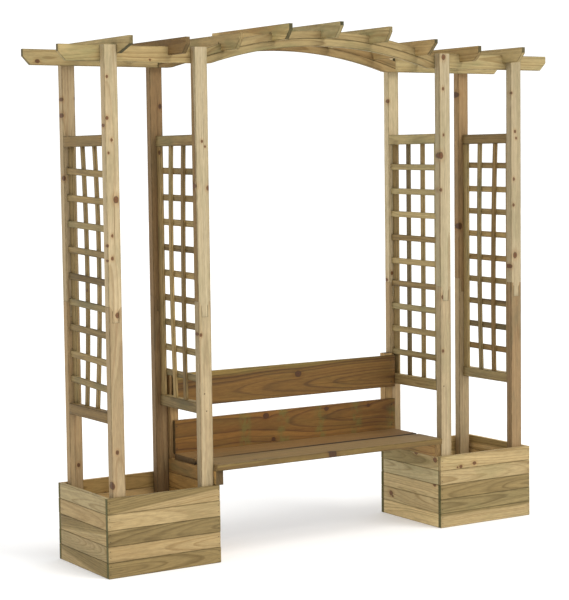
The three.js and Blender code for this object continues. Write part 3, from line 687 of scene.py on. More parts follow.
# each post is two lengths joined by a tongue in a fork: the paint of the lower one, then of the upper one
POSTS = {
    "left_outer_front": (
        dict(light=0.75, warm=0.08, pith=(0.01, 0.05), KnotCount=0.0, HeartR=0.035, Green=0.3,
             knots=((550, 0, -19, 8), (-43, -5, -19, 7), (-190, -29, -19, 9), (-176, -31, -12, 5))),
        dict(light=1.03, warm=0.01, pith=(-0.02, 0.06), KnotCount=0.0, **SAP,
             knots=((457, -19, -19, 5), (282, -22, -19, 6), (251, -31, 1, 5), (189, -2, -19, 5), (134, -18, -19, 4),
                    (-65, 13, -19, 11), (-219, -8, -19, 5), (-261, -31, -17, 5), (-316, -10, -19, 6), (-325, -31, -14, 4),
                    (-561, 9, -19, 9)))),
    "left_outer_rear": (
        dict(light=0.72, warm=0.14, KnotCount=0.0, **SAP, knots=((-158, 9, -19, 7),)),
        dict(light=0.86, warm=0.05, KnotCount=0.0, **SAP,
             knots=((375, -31, -7, 6), (304, -31, -6, 7), (26, -31, -23, 8), (380, 30, -15, 4)))),
    "left_inner_front": (
        dict(light=0.91, warm=0.0, KnotCount=0.0, **SAP, knots=((443, -32, -1, 5), (439, -22, -19, 6))),
        dict(light=1.04, warm=-0.04, KnotCount=0.0, pith=(-0.080, 0.01), HeartR=0.053, HeartSoft=0.002, Wander=0.012,
             HeartLight=lin(146, 120, 78), HeartDark=lin(112, 86, 50),
             knots=((181, -1, -19, 5), (158, 14, -19, 4), (-24, 26, -19, 8), (-14, -31, 8, 8)))),
    # the rear inner left post is darkened and browned: painted shade of the bench and planter it stands behind
    "left_inner_rear": (
        dict(light=0.47, warm=0.24, KnotCount=0.0, Contrast=0.62, Stain=0.5, **SAP),
        dict(light=0.43, warm=0.26, KnotCount=0.0, Contrast=0.62, Stain=0.4, **SAP, knots=((347, 19, -19, 8),))),
    "right_inner_front": (
        dict(light=0.90, warm=0.0, KnotCount=0.0, **SAP, knots=((537, -17, -19, 8), (275, -18, -19, 6))),
        dict(light=0.97, warm=-0.05, KnotCount=0.0, **SAP,
             knots=((575, -6, -19, 10), (425, -10, -19, 6), (205, -8, -19, 5), (107, -24, -19, 12), (-58, -25, -19, 6)))),
    "right_inner_rear": (
        dict(light=0.83, warm=0.10, KnotCount=0.0, **SAP),
        dict(light=1.26, warm=-0.02, KnotCount=0.0, **SAP,
             knots=((380, -31, -20, 7), (-348, 9, -19, 8), (-478, -17, -19, 7), (-512, -31, 13, 6)))),
    "right_outer_front": (
        dict(light=0.54, warm=0.20, KnotCount=0.0, Green=0.5, **SAP),
        dict(light=0.94, warm=-0.03, KnotCount=0.0, **SAP,
             knots=((409, -27, -19, 5), (221, -6, -19, 6), (188, 1, -19, 5), (-13, -14, -19, 6), (-141, -16, -19, 6),
                    (-389, -7, -19, 11), (-443, -31, -2, 8)))),
    "right_outer_rear": (
        dict(light=0.90, warm=0.06, KnotCount=0.0, **SAP),
        dict(light=0.57, warm=0.24, KnotCount=0.0, **SAP, knots=((416, -31, 7, 10), (-255, -24, -19, 12)))),
}


def make_posts():
    shoulder, tongue, half = SPLICE_Z, SPLICE_Z - 70.0, 15.75
    low_top, up_low = shoulder - 0.35, tongue + 0.2
    for key, paints in POSTS.items():
        side, row, end = key.split("_")
        x = (-1 if side == "left" else 1) * (POST_INNER if row == "inner" else POST_OUTER)
        y = (-1 if end == "front" else 1) * POST_MID_Y
        name = "post_" + key
        bm = new_mesh()
        # lower length, forked at its top
        length = low_top
        rnd = seeded("split lower" + key)
        splits = []
        for face in (1, -1):
            a = rnd.uniform(-length / 2 + 20, length / 2 - 480)
            splits.append((face, rnd.uniform(-12, 12), a, a + rnd.uniform(180, 380), rnd.uniform(0.6, 1.1), rnd.uniform(4, 8)))
        start = tongue - length / 2
        loft(bm, name + "_lower", length, POST_X, POST_Y, "zxy", radius=2.6, splits=splits, rough=0.22, step=24,
             place=lambda s, v, w, c=length / 2: Vector((v, w, s + c)), fork=(start, half + 0.35),
             stations=[start - 1.5, start, start + 20, start + 45], span=(0.0, 0.5), index=0)
        # upper length, with the tongue that fills the fork
        length = POST_TOP - up_low
        rnd = seeded("split upper" + key)
        splits = []
        for face in (1, -1):
            a = rnd.uniform(-length / 2 + 120, length / 2 - 480)
            splits.append((face, rnd.uniform(-12, 12), a, a + rnd.uniform(180, 420), rnd.uniform(0.6, 1.2), rnd.uniform(4, 8)))
        at = shoulder + 0.15 - (up_low + POST_TOP) / 2

        def narrow(s, at=at):
            return (POST_X / 2 - half) * (1 - smooth(at - 0.05, at + 0.05, s)) + 0.8 * (1 - smooth(at, at + 1.3, s)) * (s >= at)

        loft(bm, name + "_upper", length, POST_X, POST_Y, "zxy", radius=2.6, splits=splits, rough=0.22, step=24,
             place=lambda s, v, w, c=(up_low + POST_TOP) / 2: Vector((v, w, s + c)), lower=narrow, upper=narrow,
             stations=[at - 0.06, at + 0.06, at + 0.7, at + 1.5], span=(0.5, 1.0), index=1)
        low, up = paints
        materials = [timber_material(name + "_lower", "post", **low), timber_material(name + "_upper", "post", **up)]
        finish_stick(name, bm, (x, y, 0.0), materials, [name + "_lower", name + "_upper"])


# ---------------------------------------------------------------- planters

def make_planters():
    gap = 0.7
    for side, sign in (("left", -1), ("right", 1)):
        mid = sign * (PLANTER_IN + PLANTER_OUT) / 2
        for wall in ("front", "rear", "outer", "bench"):
            node = f"planter_{side}_{wall}_wall"
            for i in range(5):
                name = f"{node}_board_{i + 1}"
                rnd = seeded("place" + name)
                # board 1 is the top one
                z = (4 - i) * BOARD + BOARD / 2
                if wall in ("front", "rear"):
                    y = (-1 if wall == "front" else 1) * (PLANTER_Y - WALL / 2)
                    length = 560.0 - rnd.uniform(0.0, 1.6)
                    centre = (mid + rnd.uniform(-0.7, 0.7), y + (0.5 - rnd.random()) * 0.5, z)
                    axes = "xzy"
                else:
                    x = sign * ((PLANTER_OUT if wall == "outer" else PLANTER_IN) + (-1 if wall == "outer" else 1) * WALL / 2)
                    length = 455.4
                    centre = (x + (0.5 - rnd.random()) * 0.5, 0.0, z)
                    axes = "yzx"
                paint = BOARDS.get(f"{side}_{wall}_{i + 1}") or rnd.choice((SAP, HEART, {}))
                k, more = WALLS.get(f"{side}_{wall}", (1.0, 0.0))
                paint = dict(paint, light=paint.get("light", 1.0) * k, warm=paint.get("warm", 0.0) + more)
                splits = []
                if rnd.random() < 0.45:
                    end = rnd.choice((-1, 1)) * length / 2
                    a, b = sorted((end, end - math.copysign(rnd.uniform(60, 150), end)))
                    splits.append((rnd.choice((1, -1)), rnd.uniform(-18, 18), a - 30, b, rnd.uniform(0.5, 0.9), rnd.uniform(3, 6)))
                stick(name, centre, length, BOARD - gap, WALL - 0.6, axes, "board", [node], "planter_boards",
                      radius=1.5, splits=splits, rough=0.18, step=24, **paint)


# how much lighter and warmer a whole wall is
WALLS = {"left_bench": (1.3, 0.18), "left_rear": (1.2, 0.08), "right_bench": (1.0, -0.08), "left_front": (0.92, 0.01)}
GREYGREEN = dict(warm=-0.05, Green=0.55)
PINK = dict(warm=0.035, Green=0.12)
BOARDS = {
    "left_front_1": dict(pith=(0.100, 0.0), HeartR=0.115, Lean=0.085, Wander=0.03, HeartSoft=0.003),
    "left_front_2": dict(light=1.06, Contrast=0.4, **SAP),
    "left_front_3": dict(pith=(-0.02, -0.055), Stain=0.5, Lean=0.04, HeartR=0.085, Wander=0.03),
    "left_front_4": dict(light=1.02, **PINK, **SAP),
    "left_front_5": dict(pith=(0.006, -0.034), Taper=-0.09, light=1.03, **HEART),
    "left_outer_1": dict(**GREYGREEN, **SAP),
    "left_outer_2": dict(light=0.95, **PINK, **SAP),
    "left_outer_3": dict(pith=(0.07, 0.0), HeartR=0.075, Lean=-0.11, Wander=0.02),
    "left_outer_4": dict(light=0.88, pith=(0.0, -0.028), Taper=0.14, Rings=150.0, Contrast=0.8, warm=-0.01, **SAP),
    "left_outer_5": dict(pith=(0.07, 0.0), HeartR=0.082, Lean=0.10, Wander=0.02),
    "left_rear_1": dict(light=1.15, warm=0.06, pith=(0.0, 0.035), Taper=0.07, KnotCount=0.5, **HEART),
    "left_rear_2": dict(light=1.1, **PINK, **SAP),
    "left_bench_1": dict(light=1.2, warm=0.08, **HEART),
    "left_bench_2": dict(light=1.1, warm=0.08, **HEART),
    "right_front_1": dict(light=1.12, pith=(0.03, -0.045), Wander=0.09, caps=(0.25, 1.0), **SAP,
                          knots=((-156, -24, -10, 7), (-72, -16, -10, 8), (-176, -26, -10, 4))),
    "right_front_2": dict(light=1.0, warm=-0.02, Wander=0.07, caps=(0.3, 1.0), **SAP),
    "right_front_3": dict(Stain=0.35, **HEART),
    "right_front_4": dict(light=1.04, warm=-0.03, Green=0.5, **HEART),
    "right_front_5": dict(light=1.0, warm=-0.03, pith=(0.06, -0.02), HeartR=0.04, **{"Lean": 0.03}),
    "right_bench_1": dict(light=1.48, knots=((-49, 33, -10, 11), (-203, 15, -10, 11)), pith=(0.0, -0.06), HeartR=0.06),
    "right_bench_2": dict(light=1.32, **GREYGREEN, **SAP),
    "right_bench_3": dict(light=1.42, knots=((-198, 32, -10, 8),), **PINK, **SAP),
    "right_bench_4": dict(light=1.3, knots=((164, 5, -10, 11), (150, -8, -10, 5)), Stain=0.5, **PINK, **SAP),
    "right_bench_5": dict(light=1.7, **PINK, **SAP),
    # the inside boards of the right planter's outer and rear walls are lightened: painted light lifting the shade
    # inside the planter
    "right_outer_1": dict(light=1.8, warm=0.03), "right_outer_2": dict(light=1.8, warm=0.05),
    "right_rear_1": dict(light=1.7, warm=0.05), "right_rear_2": dict(light=1.6, warm=0.05),
}


# ---------------------------------------------------------------- roof

def end_cut(half, both):
    """Height of the lower edge where a free end is cut back: 36 back, 38 up."""
    def lower(s):
        up = max(0.0, (s - (half - 36.0)) / 36.0 * 38.0)
        if both:
            up = max(up, (-s - (half - 36.0)) / 36.0 * 38.0)
        return min(up, 38.0)
    return lower


def make_roof():
    # straight beams: the stick's own +u runs to the free end
    length = 1335.0 - 668.15
    for side, sign in (("left", -1), ("right", 1)):
        for end, ys in (("front", -1), ("rear", 1)):
            name = f"beam_{side}_{end}"
            half = length / 2

            def lower(s, sign=sign, half=half):
                t = s * sign
                return min(38.0, max(0.0, (t - (half - 36.0)) / 36.0 * 38.0))

            def cut(s, sign=sign, half=half):
                return s * sign > half - 36.0

            stick(name, (sign * (668.15 + half), ys * 179.4, (BEAM_LOW + BEAM_TOP) / 2), length, 70.0, 20.0, "xzy",
                  "roof", [name], "roof_timber", lower=lower, cut=cut,
                  stations=[sign * (half - 36.0), sign * (half - 24.0), sign * (half - 12.0)],
                  radius=1.7, rough=0.2, **ROOF.get(name, {}))

    # bowed arches, each of two bent strips glued one on the other
    for end, ys in (("front", -1), ("rear", 1)):
        y = ys * (189.4 - 12.0)
        for k, (r0, r1) in enumerate(((ARCH_LOW, 2084.7), (2085.3, ARCH_TOP))):
            name = f"arch_{end}_{'lower' if k == 0 else 'upper'}_strip"
            mid_r = (r0 + r1) / 2

            def place(s, v, w, r0=r0, r1=r1, mid_r=mid_r, y=y):
                r = mid_r + v
                z = ARCH_CENTRE + math.sqrt(r * r - s * s)
                if r0 == ARCH_LOW:
                    floor_z = BEAM_LOW + (v + 17.35) * 0.42
                    z = max(z, floor_z)
                return Vector((s, w, z - 2300.0))

            def grain(s, v, w, mid_r=mid_r):
                return (mid_r * math.asin(s / mid_r), v, w)

            stick(name, (0, y, 2300.0), 2 * 667.85, r1 - r0, 24.0, "xzy", "roof", [f"arch_{end}"], "roof_timber",
                  place=place, grain=grain, radius=1.5, rough=0.16, step=18, **ROOF.get(name, {}))

    # rafters, notched over what carries them, each front end cut in its own way
    for i in range(9):
        x = (i - 4) * 267.0
        near = max(0.0, abs(x) - 10.0)
        on_beam = abs(x) > 668
        top = (BEAM_TOP if on_beam else ARCH_CENTRE + math.sqrt(ARCH_TOP ** 2 - near ** 2)) + 32.7
        notch = 20.0 if on_beam else 24.0
        out_y, in_y = 189.7, 189.7 - notch - 0.6
        front, plumb, back, curve = RAFTER_ENDS[i]
        length, mid = 350.0 + front, (350.0 - front) / 2

        def lower(s, out_y=out_y, in_y=in_y, front=front, plumb=plumb, back=back, curve=curve, mid=mid):
            y = s + mid
            if in_y + 0.4 < abs(y) < out_y - 0.4:
                return 37.6
            if y > 0:
                return min(38.0, max(0.0, (y - 314.0) / 36.0 * 38.0))
            t = max(0.0, (-y - (front - back)) / back)
            return (70.0 - plumb) * min(1.0, t) ** curve

        def cut(s, front=front, back=back, mid=mid):
            return s + mid > 314.0 or s + mid < back - front

        extra = [y - mid for y in (314.0, 326.0, 338.0)]
        extra += [back * k / 6 - front - mid for k in range(1, 7)]
        for e in (-1, 1):
            extra += [e * y - mid for y in (in_y, in_y + 0.8, out_y - 0.8, out_y)]
        name = f"rafter_{i + 1}"
        stick(name, (x, mid, top - 35.0), length, 70.0, 20.0, "yzx", "roof", [name], "roof_timber", lower=lower, cut=cut,
              stations=extra, radius=1.7, rough=0.2, **ROOF.get(name, {}))


# each rafter's front end: reach, height of the upright part, set-back of the lower corner, bulge of the slope
RAFTER_ENDS = [
    (338, 36, 106, 1.0), (350, 32, 36, 1.0), (345, 32, 36, 1.1), (333, 28, 38, 1.1), (345, 19, 45, 1.1),
    (350, 24, 37, 1.2), (342, 19, 57, 1.0), (333, 32, 52, 1.8), (336, 28, 42, 1.2),
]

ROOF = {
    "beam_left_front": dict(light=1.08, caps=(0.8, 1.0), cut_grain_shade=(0.15, 0.15), **SAP),
    "beam_left_rear": dict(light=0.95, caps=(0.8, 1.0), cut_grain_shade=(0.5, 0.5), **SAP,
                           knots=((-265, -18, -10, 8),)),
    "beam_right_front": dict(light=1.08, warm=-0.05, Green=0.6, cut_grain_shade=(0.2, 0.2), **SAP),
    "beam_right_rear": dict(light=1.16, warm=-0.04, cut_grain_shade=(0.2, 0.2), **SAP),
    "arch_front_lower_strip": dict(light=0.94, **SAP), "arch_front_upper_strip": dict(light=0.89, Stain=0.5, HeartR=0.02),
    "arch_rear_lower_strip": dict(light=0.69, warm=0.10, Stain=0.5), "arch_rear_upper_strip": dict(light=0.62, warm=0.12, Stain=0.6),
    # rafter 1's front slope gets the darkest cut: painted shade on the slope that faces down
    "rafter_1": dict(light=1.06, warm=-0.02, Green=0.8, caps=(0.45, 1.0), cut_grain_shade=(1.0, 0.6), **SAP),
    # rafter 2 is painted dark and brown all over: painted shadow of rafter 1's overhang on its side
    "rafter_2": dict(light=0.44, warm=0.22, Green=0.3, caps=(0.3, 1.0), cut_grain_shade=(0.4, 0.6), **SAP),
    "rafter_3": dict(light=1.09, warm=0.03, caps=(0.25, 1.0), cut_grain_shade=(0.2, 0.6), **SAP),
    "rafter_4": dict(light=1.41, warm=0.03, Contrast=0.8, caps=(1.0, 1.0), cut_grain_shade=(0.9, 0.6), **SAP),
    "rafter_5": dict(light=1.06, warm=-0.05, Green=0.9, caps=(1.0, 1.0), cut_grain_shade=(0.15, 0.6), **SAP),
    "rafter_6": dict(light=1.19, warm=-0.02, Green=0.6, caps=(0.55, 1.0), cut_grain_shade=(0.4, 0.6), **SAP),
    "rafter_7": dict(light=1.05, warm=0.08, caps=(1.0, 1.0), cut_grain_shade=(0.7, 0.6), **SAP),
    "rafter_8": dict(light=1.31, warm=0.04, caps=(0.9, 1.0), cut_grain_shade=(0.35, 0.6), **HEART),
    "rafter_9": dict(light=1.19, warm=-0.03, caps=(0.85, 1.0), cut_grain_shade=(0.15, 0.6), **SAP),
}


# ---------------------------------------------------------------- trellis panels

def make_trellis():
    for side, sign in (("left", -1), ("right", 1)):
        for row in ("inner", "outer"):
            node = f"trellis_{side}_{row}"
            # the show face looks to the bench on the inner panel and outwards on the outer one
            face = sign * (638.6 if row == "inner" else 1141.4)
            into = sign if row == "inner" else -sign  # from the show face into the panel
            rail_x = face + into * 19.0
            cross_x = face + into * (11.5 + 6.0)
            up_x = cross_x + into * 11.0
            for nm, z in (("top", 1886.0), ("bottom", 691.0)):
                name = f"{node}_{nm}_rail"
                stick(name, (rail_x, 0, z), 2 * PANEL_HALF, 48.0, 38.0, "yzx", "lath", [node], "trellis_laths",
                      radius=1.5, rough=0.15, step=26, inner=(2, 2), **lath_paint(node, name, 0.06))
            tilt, levels = LATH_LEVELS[f"{side}_{row}"]
            for i in range(9):
                name = f"{node}_cross_{i + 1}"
                stick(name, (cross_x, 0, 1748.0 - 115.8 * i + levels[i]), 2 * PANEL_HALF - 2, 29.0, 12.0, "yzx",
                      "lath", [node], "trellis_laths", radius=1.1, rough=0.12, step=30, inner=(1, 0),
                      place=lambda s, v, w, t=tilt: Vector((w, s, v + t * s)), **lath_paint(node, name, 0.16))
            for nm, y in (("front", -(PANEL_HALF - 19.5)), ("rear", PANEL_HALF - 19.5)):
                name = f"{node}_stile_{nm}"
                stick(name, (up_x, y, 1288.5), 1157.0, 38.0, 12.0, "zyx", "lath", [node], "trellis_laths",
                      radius=1.1, rough=0.12, step=34, inner=(1, 0), bow=0.3, **lath_paint(node, name, 0.16))
            for nm, y, (off, curve, at) in (("front", -57.0, UPRIGHTS[f"{side}_{row}"][0]),
                                            ("rear", 57.0, UPRIGHTS[f"{side}_{row}"][1])):
                name = f"{node}_upright_{nm}"
                stick(name, (up_x, y, 1288.5), 1157.0, 25.0, 12.0, "zyx", "lath", [node], "trellis_laths",
                      radius=1.1, rough=0.12, step=34, inner=(1, 0),
                      place=lambda s, v, w, o=off, c=curve, a=at: Vector((w, v + o + c * (s - a) ** 2, s)),
                      **lath_paint(node, name, 0.16))


# the two uprights of a panel, front and rear: how far off its place each is, how much it is bent and about which height
UPRIGHTS = {"left_outer": ((-28, 9.5e-5, 90), (-24.5, 7.9e-5, 40)), "left_inner": ((23.5, -3.2e-5, -200), (18.5, -5.0e-5, 60)),
            "right_inner": ((4, 0, 0), (6, 0, 0)), "right_outer": ((11, -3.1e-5, -200), (8, -3.1e-5, 80))}
# the cross laths: their slope from front to rear, and how far each is off its level, from the top one down
LATH_LEVELS = {"left_outer": (0.039, (0.3, -2.2, -2.2, -0.7, -3.6, -2.8, -0.1, -5.0, -2.2)),
               "left_inner": (0.017, (0.0, -5.5, -2.0, -2.3, -3.8, -1.2, 1.2, 0.8, 1.2)),
               "right_inner": (0.014, (1.8, -3.0, -1.0, -1.3, -2.7, 0.5, 1.5, 4.5, 3.7)),
               "right_outer": (0.0125, (4.6, 0.8, 3.4, 4.7, 1.3, 4.3, 7.3, 4.8, 7.6))}


def lath_paint(node, name, spread):
    """Laths of a panel share its tone, each a little off it."""
    rnd = seeded("tone" + name)
    light = PANELS[node[8:]] * (1 + rnd.uniform(-spread, spread)) * LATHS.get(name[8:], 1.0)
    return dict(light=light, warm=PANEL_WARMTH[node[8:]] + rnd.uniform(-0.05, 0.05), **rnd.choice((SAP, SAP, HEART, {})))


PANELS = {"left_inner": 0.89, "left_outer": 0.77, "right_inner": 1.26, "right_outer": 1.01}
PANEL_WARMTH = {"left_inner": 0.10, "left_outer": 0.10, "right_inner": 0.03, "right_outer": 0.10}
LATHS = {"right_inner_upright_rear": 0.55, "right_outer_cross_7": 0.62, "right_outer_cross_8": 0.6,
         "left_outer_cross_7": 0.7, "left_outer_top_rail": 1.1, "left_inner_top_rail": 1.15,
         "left_inner_bottom_rail": 0.8, "right_inner_bottom_rail": 1.1}


# ---------------------------------------------------------------- bench

def make_bench():
    for side, sign, back in (("left", -1, 0.0), ("right", 1, 24.0)):
        name = f"seat_bearer_{side}"
        stick(name, (sign * 619.0, -248.0 + 226.0 + back, 382.8), 452.0, 65.0, 38.0, "yzx", "bench", [name],
              "bench_timber", radius=1.8, rough=0.2, **BENCH.get(name, {}))
        name = f"backrest_batten_{side}"
        stick(name, (sign * 615.5, 192.8, (415.6 + 820.0) / 2), 820.0 - 415.6, 45.0, 45.0, "zxy", "bench", [name],
              "bench_timber", radius=2.2, rough=0.2, inner=(3, 3), **BENCH.get(name, {}))
    for nm, y in (("front", -169.0), ("rear", 38.0)):
        name = f"seat_plank_{nm}"
        rnd = seeded("split" + name)
        splits = [(1, rnd.uniform(-50, 50), -640, -640 + rnd.uniform(150, 260), 1.1, 7.0),
                  (1, rnd.uniform(-50, 50), 420, 640, 0.9, 6.0), (-1, rnd.uniform(-50, 50), -200, 330, 1.0, 6.0)]
        stick(name, (-10.25, y, 429.6), 1254.5, 188.0, 28.0, "xyz", "bench", [name], "bench_timber", radius=3.4,
              splits=splits, rough=0.3, inner=(7, 1), **BENCH.get(name, {}))
    for nm, z in (("lower", 514.0), ("upper", 732.0)):
        name = f"backrest_board_{nm}"
        rnd = seeded("split" + name)
        splits = [(-1, rnd.uniform(-40, 40), -660, -660 + rnd.uniform(120, 220), 1.0, 6.0),
                  (-1, rnd.uniform(-40, 40), 100, 520, 0.8, 5.0), (1, rnd.uniform(-40, 40), -200, 330, 1.0, 6.0)]
        stick(name, (6.5, 159.5, z), 1261.0, 158.0, 21.0, "xzy", "back", [name], "backrest_boards", radius=2.6,
              splits=splits, rough=0.25, inner=(7, 1), **BENCH.get(name, {}))


BENCH = {
    "seat_plank_front": dict(light=0.67, warm=0.08, pith=(-0.168, 0.0), HeartR=0.077, HeartSoft=0.003, Wander=0.015,
                             HeartLight=lin(133, 112, 61), HeartDark=lin(102, 77, 40), caps=(0.05, 0.4),
                             knots=((-10, -94, 2, 14), (-22, -88, 14, 9))),
    # the rear plank's very dark heart strip along its front edge is painted shadow in the gap between the planks
    "seat_plank_rear": dict(light=0.54, warm=0.25, pith=(-0.168, 0.0), caps=(0.5, 0.5), Rings=110.0, HeartR=0.0775,
                            HeartSoft=0.002, Wander=0.012, HeartLight=lin(62, 44, 24), HeartDark=lin(46, 31, 16)),
    "backrest_board_upper": dict(light=1.02, warm=0.02, pith=(-0.030, -0.055), HeartR=0.105, Taper=0.05, HeartSoft=0.006,
                                 knots=((53, 28, -10, 13),), caps=(0.6, 0.9), Wander=0.05),
    "backrest_board_lower": dict(light=1.08, warm=0.12, Marks=0.6, Green=0.35, pith=(0.02, -0.10), Stain=0.6, **HEART,
                                 knots=((-133, 58, -10, 12), (215, 62, -10, 9), (465, 58, -10, 7)), caps=(0.8, 0.8)),
    # the battens are lightened well past their wood: painted light lifting the shade they stand in behind the backrest
    # boards
    "backrest_batten_left": dict(light=1.8, warm=-0.05), "backrest_batten_right": dict(light=2.25, warm=-0.03, Green=0.5),
    "seat_bearer_left": dict(light=1.0, warm=0.26, Stain=0.6, Green=0.6, caps=(0.9, 0.4), **SAP),
    "seat_bearer_right": dict(light=1.14, warm=0.16, Green=0.6, caps=(0.5, 0.4), **SAP),
}


# ---------------------------------------------------------------- planter floors, which keep the frame's solid

def finish_floors():
    for side in ("left", "right"):
        name = f"planter_{side}_floor"
        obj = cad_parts[name]
        mat = bpy.data.materials.new("timber_" + name)
        mat.use_nodes = True
        g = Tree(mat.node_tree)
        g.nodes.clear()
        co = g.new("ShaderNodeTexCoord").outputs["Object"]
        body = g.new("ShaderNodeGroup", node_tree=TIMBER)
        g.put(body.inputs["P"], co)
        s = dict(LOOKS["floor"])
        s.update(Seed=12.3 if side == "left" else 27.9, PithV=0.05, PithW=-0.08, Knot=90.0)
        for key, value in s.items():
            body.inputs[key].default_value = value
        shader = g.new("ShaderNodeBsdfPrincipled")
        shader.inputs["Specular IOR Level"].default_value = 0.3
        g.put(shader.inputs["Base Color"], body.outputs["Colour"])
        g.put(shader.inputs["Roughness"], body.outputs["Roughness"])
        bump = g.new("ShaderNodeBump")
        bump.inputs["Strength"].default_value = 0.5
        bump.inputs["Distance"].default_value = 0.0008
        g.put(bump.inputs["Height"], body.outputs["Height"])
        g.put(shader.inputs["Normal"], bump.outputs["Normal"])
        end = g.new("ShaderNodeOutputMaterial")
        g.put(end.inputs["Surface"], shader.outputs["BSDF"])
        if obj.data.materials:
            for i in range(len(obj.data.materials)):
                obj.material_slots[i].material = mat
        else:
            obj.data.materials.append(mat)


# ---------------------------------------------------------------- screws

def screws(name, places, nodes_near, slot):
    """One object holding the heads at places: (x, y, z, (outward normal), radius mm), each with a cross recess."""
    bm = bmesh.new()
    for x, y, z, normal, radius in places:
        n = Vector(normal).normalized()
        a = n.orthogonal().normalized()
        a = (Matrix.Rotation(seeded(f"{name}{x}{z}").uniform(0, 1.5), 3, n) @ a)
        b = n.cross(a)
        rings = []
        for rr in (0.0, 0.16, 0.30, 0.44, 0.58, 0.72, 0.88, 0.97, 1.0):
            ring = []
            for k in range(1 if rr == 0 else 24):
                t = 2 * math.pi * k / 24
                px, py = rr * math.cos(t), rr * math.sin(t)
                h = 0.45 * (1 - 0.35 * rr * rr) if rr < 0.95 else (0.28 if rr < 1 else -0.5)
                arm = min(abs(px), abs(py))
                if rr < 0.6:
                    h -= 1.1 * (1 - smooth(0.07, 0.16, arm)) * (1 - smooth(0.46, 0.60, rr))
                co = Vector((x, y, z)) + a * px * radius + b * py * radius + n * h
                ring.append(bm.verts.new(co * MM))
            rings.append(ring)
        for k in range(24):
            bm.faces.new((rings[0][0], rings[1][k], rings[1][(k + 1) % 24]))
        for i in range(1, len(rings) - 1):
            for k in range(24):
                bm.faces.new((rings[i][k], rings[i + 1][k], rings[i + 1][(k + 1) % 24], rings[i][(k + 1) % 24]))
        # a short shank closes it below the surface
        tip = bm.verts.new((Vector((x, y, z)) - n * 3.0) * MM)
        last = rings[-1]
        for k in range(24):
            bm.faces.new((last[k], tip, last[(k + 1) % 24]))
    bmesh.ops.recalc_face_normals(bm, faces=bm.faces)
    for f in bm.faces:
        f.smooth = True
    mesh = bpy.data.meshes.new(name)
    bm.to_mesh(mesh)
    bm.free()
    mesh.set_sharp_from_angle(angle=math.radians(40))
    obj = bpy.data.objects.new(name, mesh)
    bpy.context.scene.collection.objects.link(obj)
    mesh.materials.append(SCREW)
    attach(obj, "root")
    return obj


SCREW = screw_material()


def make_screws():
    # planter corners: two to each board end of the front and rear walls
    for side, sign in (("left", -1), ("right", 1)):
        mid = sign * (PLANTER_IN + PLANTER_OUT) / 2
        for wall, ys in (("front", -1), ("rear", 1)):
            places = []
            for i in range(5):
                for e in (-1, 1):
                    for dz in (-16, 16):
                        rnd = seeded(f"{side}{wall}{i}{e}{dz}")
                        places.append((mid + e * (270 + rnd.uniform(-1.5, 1.5)), ys * (PLANTER_Y - 0.25),
                                       i * BOARD + 35 + dz + rnd.uniform(-3, 3), (0, ys, 0), 2.1))
            screws(f"screws_planter_{side}_{wall}", places, None, None)
    # inner posts to the planters and the seat
    places = [(-POST_INNER - 9, -227.5, 763, (0, -1, 0), 3.4), (-POST_INNER + 1, -227.5, 685, (0, -1, 0), 3.4),
              (POST_INNER - 14, -227.5, 691, (0, -1, 0), 3.4)]
    screws("screws_posts", places, None, None)
    # seat planks to bearers
    places = []
    for sign in (-1, 1):
        for y in (-232, -110, -20, 98):
            rnd = seeded(f"seat{sign}{y}")
            places.append((sign * (614 + rnd.uniform(-2, 2)), y + rnd.uniform(-3, 3), 443.4, (0, 0, 1), 3.6))
    screws("screws_seat", places, None, None)
    places = []
    for sign in (-1, 1):
        for z in (462, 566, 680, 784):
            rnd = seeded(f"back{sign}{z}")
            places.append((sign * (614 + rnd.uniform(-2, 2)), 149.2, z + rnd.uniform(-3, 3), (0, -1, 0), 3.8))
    screws("screws_backrest", places, None, None)


# ---------------------------------------------------------------- floor, light and camera

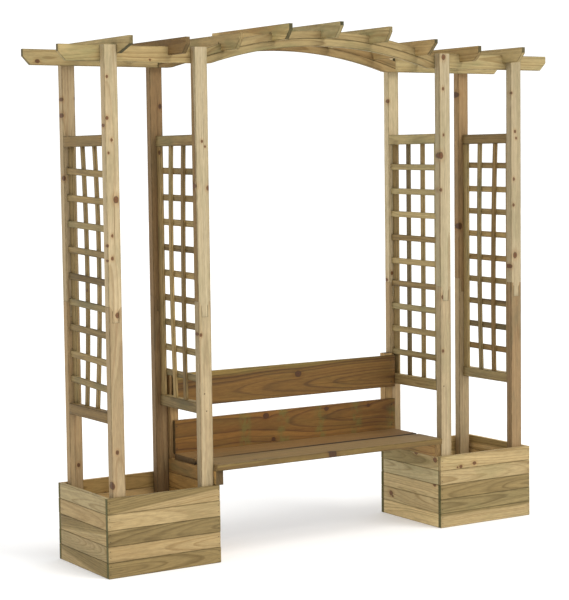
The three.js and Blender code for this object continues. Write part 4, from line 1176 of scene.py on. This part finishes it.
def stage_and_light():
    bm = bmesh.new()
    bmesh.ops.create_grid(bm, x_segments=2, y_segments=2, size=40.0)
    mesh = bpy.data.meshes.new("studio_floor")
    bm.to_mesh(mesh)
    bm.free()
    floor = bpy.data.objects.new("studio_floor", mesh)
    floor.location = (0, 0, -0.0006)
    bpy.context.scene.collection.objects.link(floor)
    mat = bpy.data.materials.new("studio_floor")
    mat.use_nodes = True
    b = mat.node_tree.nodes["Principled BSDF"]
    b.inputs["Base Color"].default_value = (0.82, 0.82, 0.82, 1)
    b.inputs["Emission Color"].default_value = (1, 1, 1, 1)
    b.inputs["Emission Strength"].default_value = 0.20
    b.inputs["Roughness"].default_value = 0.9
    b.inputs["Specular IOR Level"].default_value = 0.1
    mesh.materials.append(mat)

    scene = bpy.context.scene
    world = bpy.data.worlds.new("studio")
    scene.world = world
    world.use_nodes = True
    g = Tree(world.node_tree)
    g.nodes.clear()
    path = g.new("ShaderNodeLightPath")
    seen = g.new("ShaderNodeBackground")
    seen.inputs["Color"].default_value = (1, 1, 1, 1)
    seen.inputs["Strength"].default_value = 1.15
    soft = g.new("ShaderNodeBackground")
    soft.inputs["Color"].default_value = (0.98, 0.99, 1.0, 1)
    soft.inputs["Strength"].default_value = WORLD
    mix = g.new("ShaderNodeMixShader")
    g.put(mix.inputs[0], path.outputs["Is Camera Ray"])
    g.put(mix.inputs[1], soft.outputs[0])
    g.put(mix.inputs[2], seen.outputs[0])
    end = g.new("ShaderNodeOutputWorld")
    g.put(end.inputs["Surface"], mix.outputs[0])

    for name, towards, strength, spread in LIGHTS:
        data = bpy.data.lights.new(name, "SUN")
        data.energy = strength
        data.angle = math.radians(spread)
        data.color = (1.0, 0.97, 0.91)
        lamp = bpy.data.objects.new(name, data)
        lamp.location = Vector(towards) * 6
        lamp.rotation_euler = Vector(towards).to_track_quat("Z", "Y").to_euler()
        scene.collection.objects.link(lamp)

    scene.view_settings.view_transform = "Standard"
    scene.view_settings.look = "None"
    scene.view_settings.exposure = 0.0
    scene.view_settings.gamma = 1.0


WORLD = 0.90
# name, where it shines from, strength, spread in degrees
LIGHTS = [
    ("key", (0.28, -0.56, 0.78), 1.85, 36.0),
]


def camera():
    yaw, pitch, roll = math.radians(32.36), math.radians(-4.57), math.radians(-0.73)
    fwd = Vector((math.sin(yaw) * math.cos(pitch), math.cos(yaw) * math.cos(pitch), math.sin(pitch)))
    right = Vector((math.cos(yaw), -math.sin(yaw), 0))
    up = right.cross(fwd)
    r = right * math.cos(roll) + up * math.sin(roll)
    u = -right * math.sin(roll) + up * math.cos(roll)
    m = Matrix((
        (r.x, u.x, -fwd.x, -4.49513),
        (r.y, u.y, -fwd.y, -6.92355),
        (r.z, u.z, -fwd.z, 1.79188),
        (0, 0, 0, 1),
    ))
    data = bpy.data.cameras.new("camera")
    data.sensor_fit = "AUTO"
    data.sensor_width = 36.0
    data.lens = 1748.66 * 36.0 / 600.0
    data.clip_start, data.clip_end = 0.1, 200.0
    cam = bpy.data.objects.new("camera", data)
    cam.matrix_world = m
    bpy.context.scene.collection.objects.link(cam)
    bpy.context.scene.camera = cam


make_posts()
make_planters()
make_roof()
make_trellis()
make_bench()
finish_floors()
make_screws()
stage_and_light()
camera()
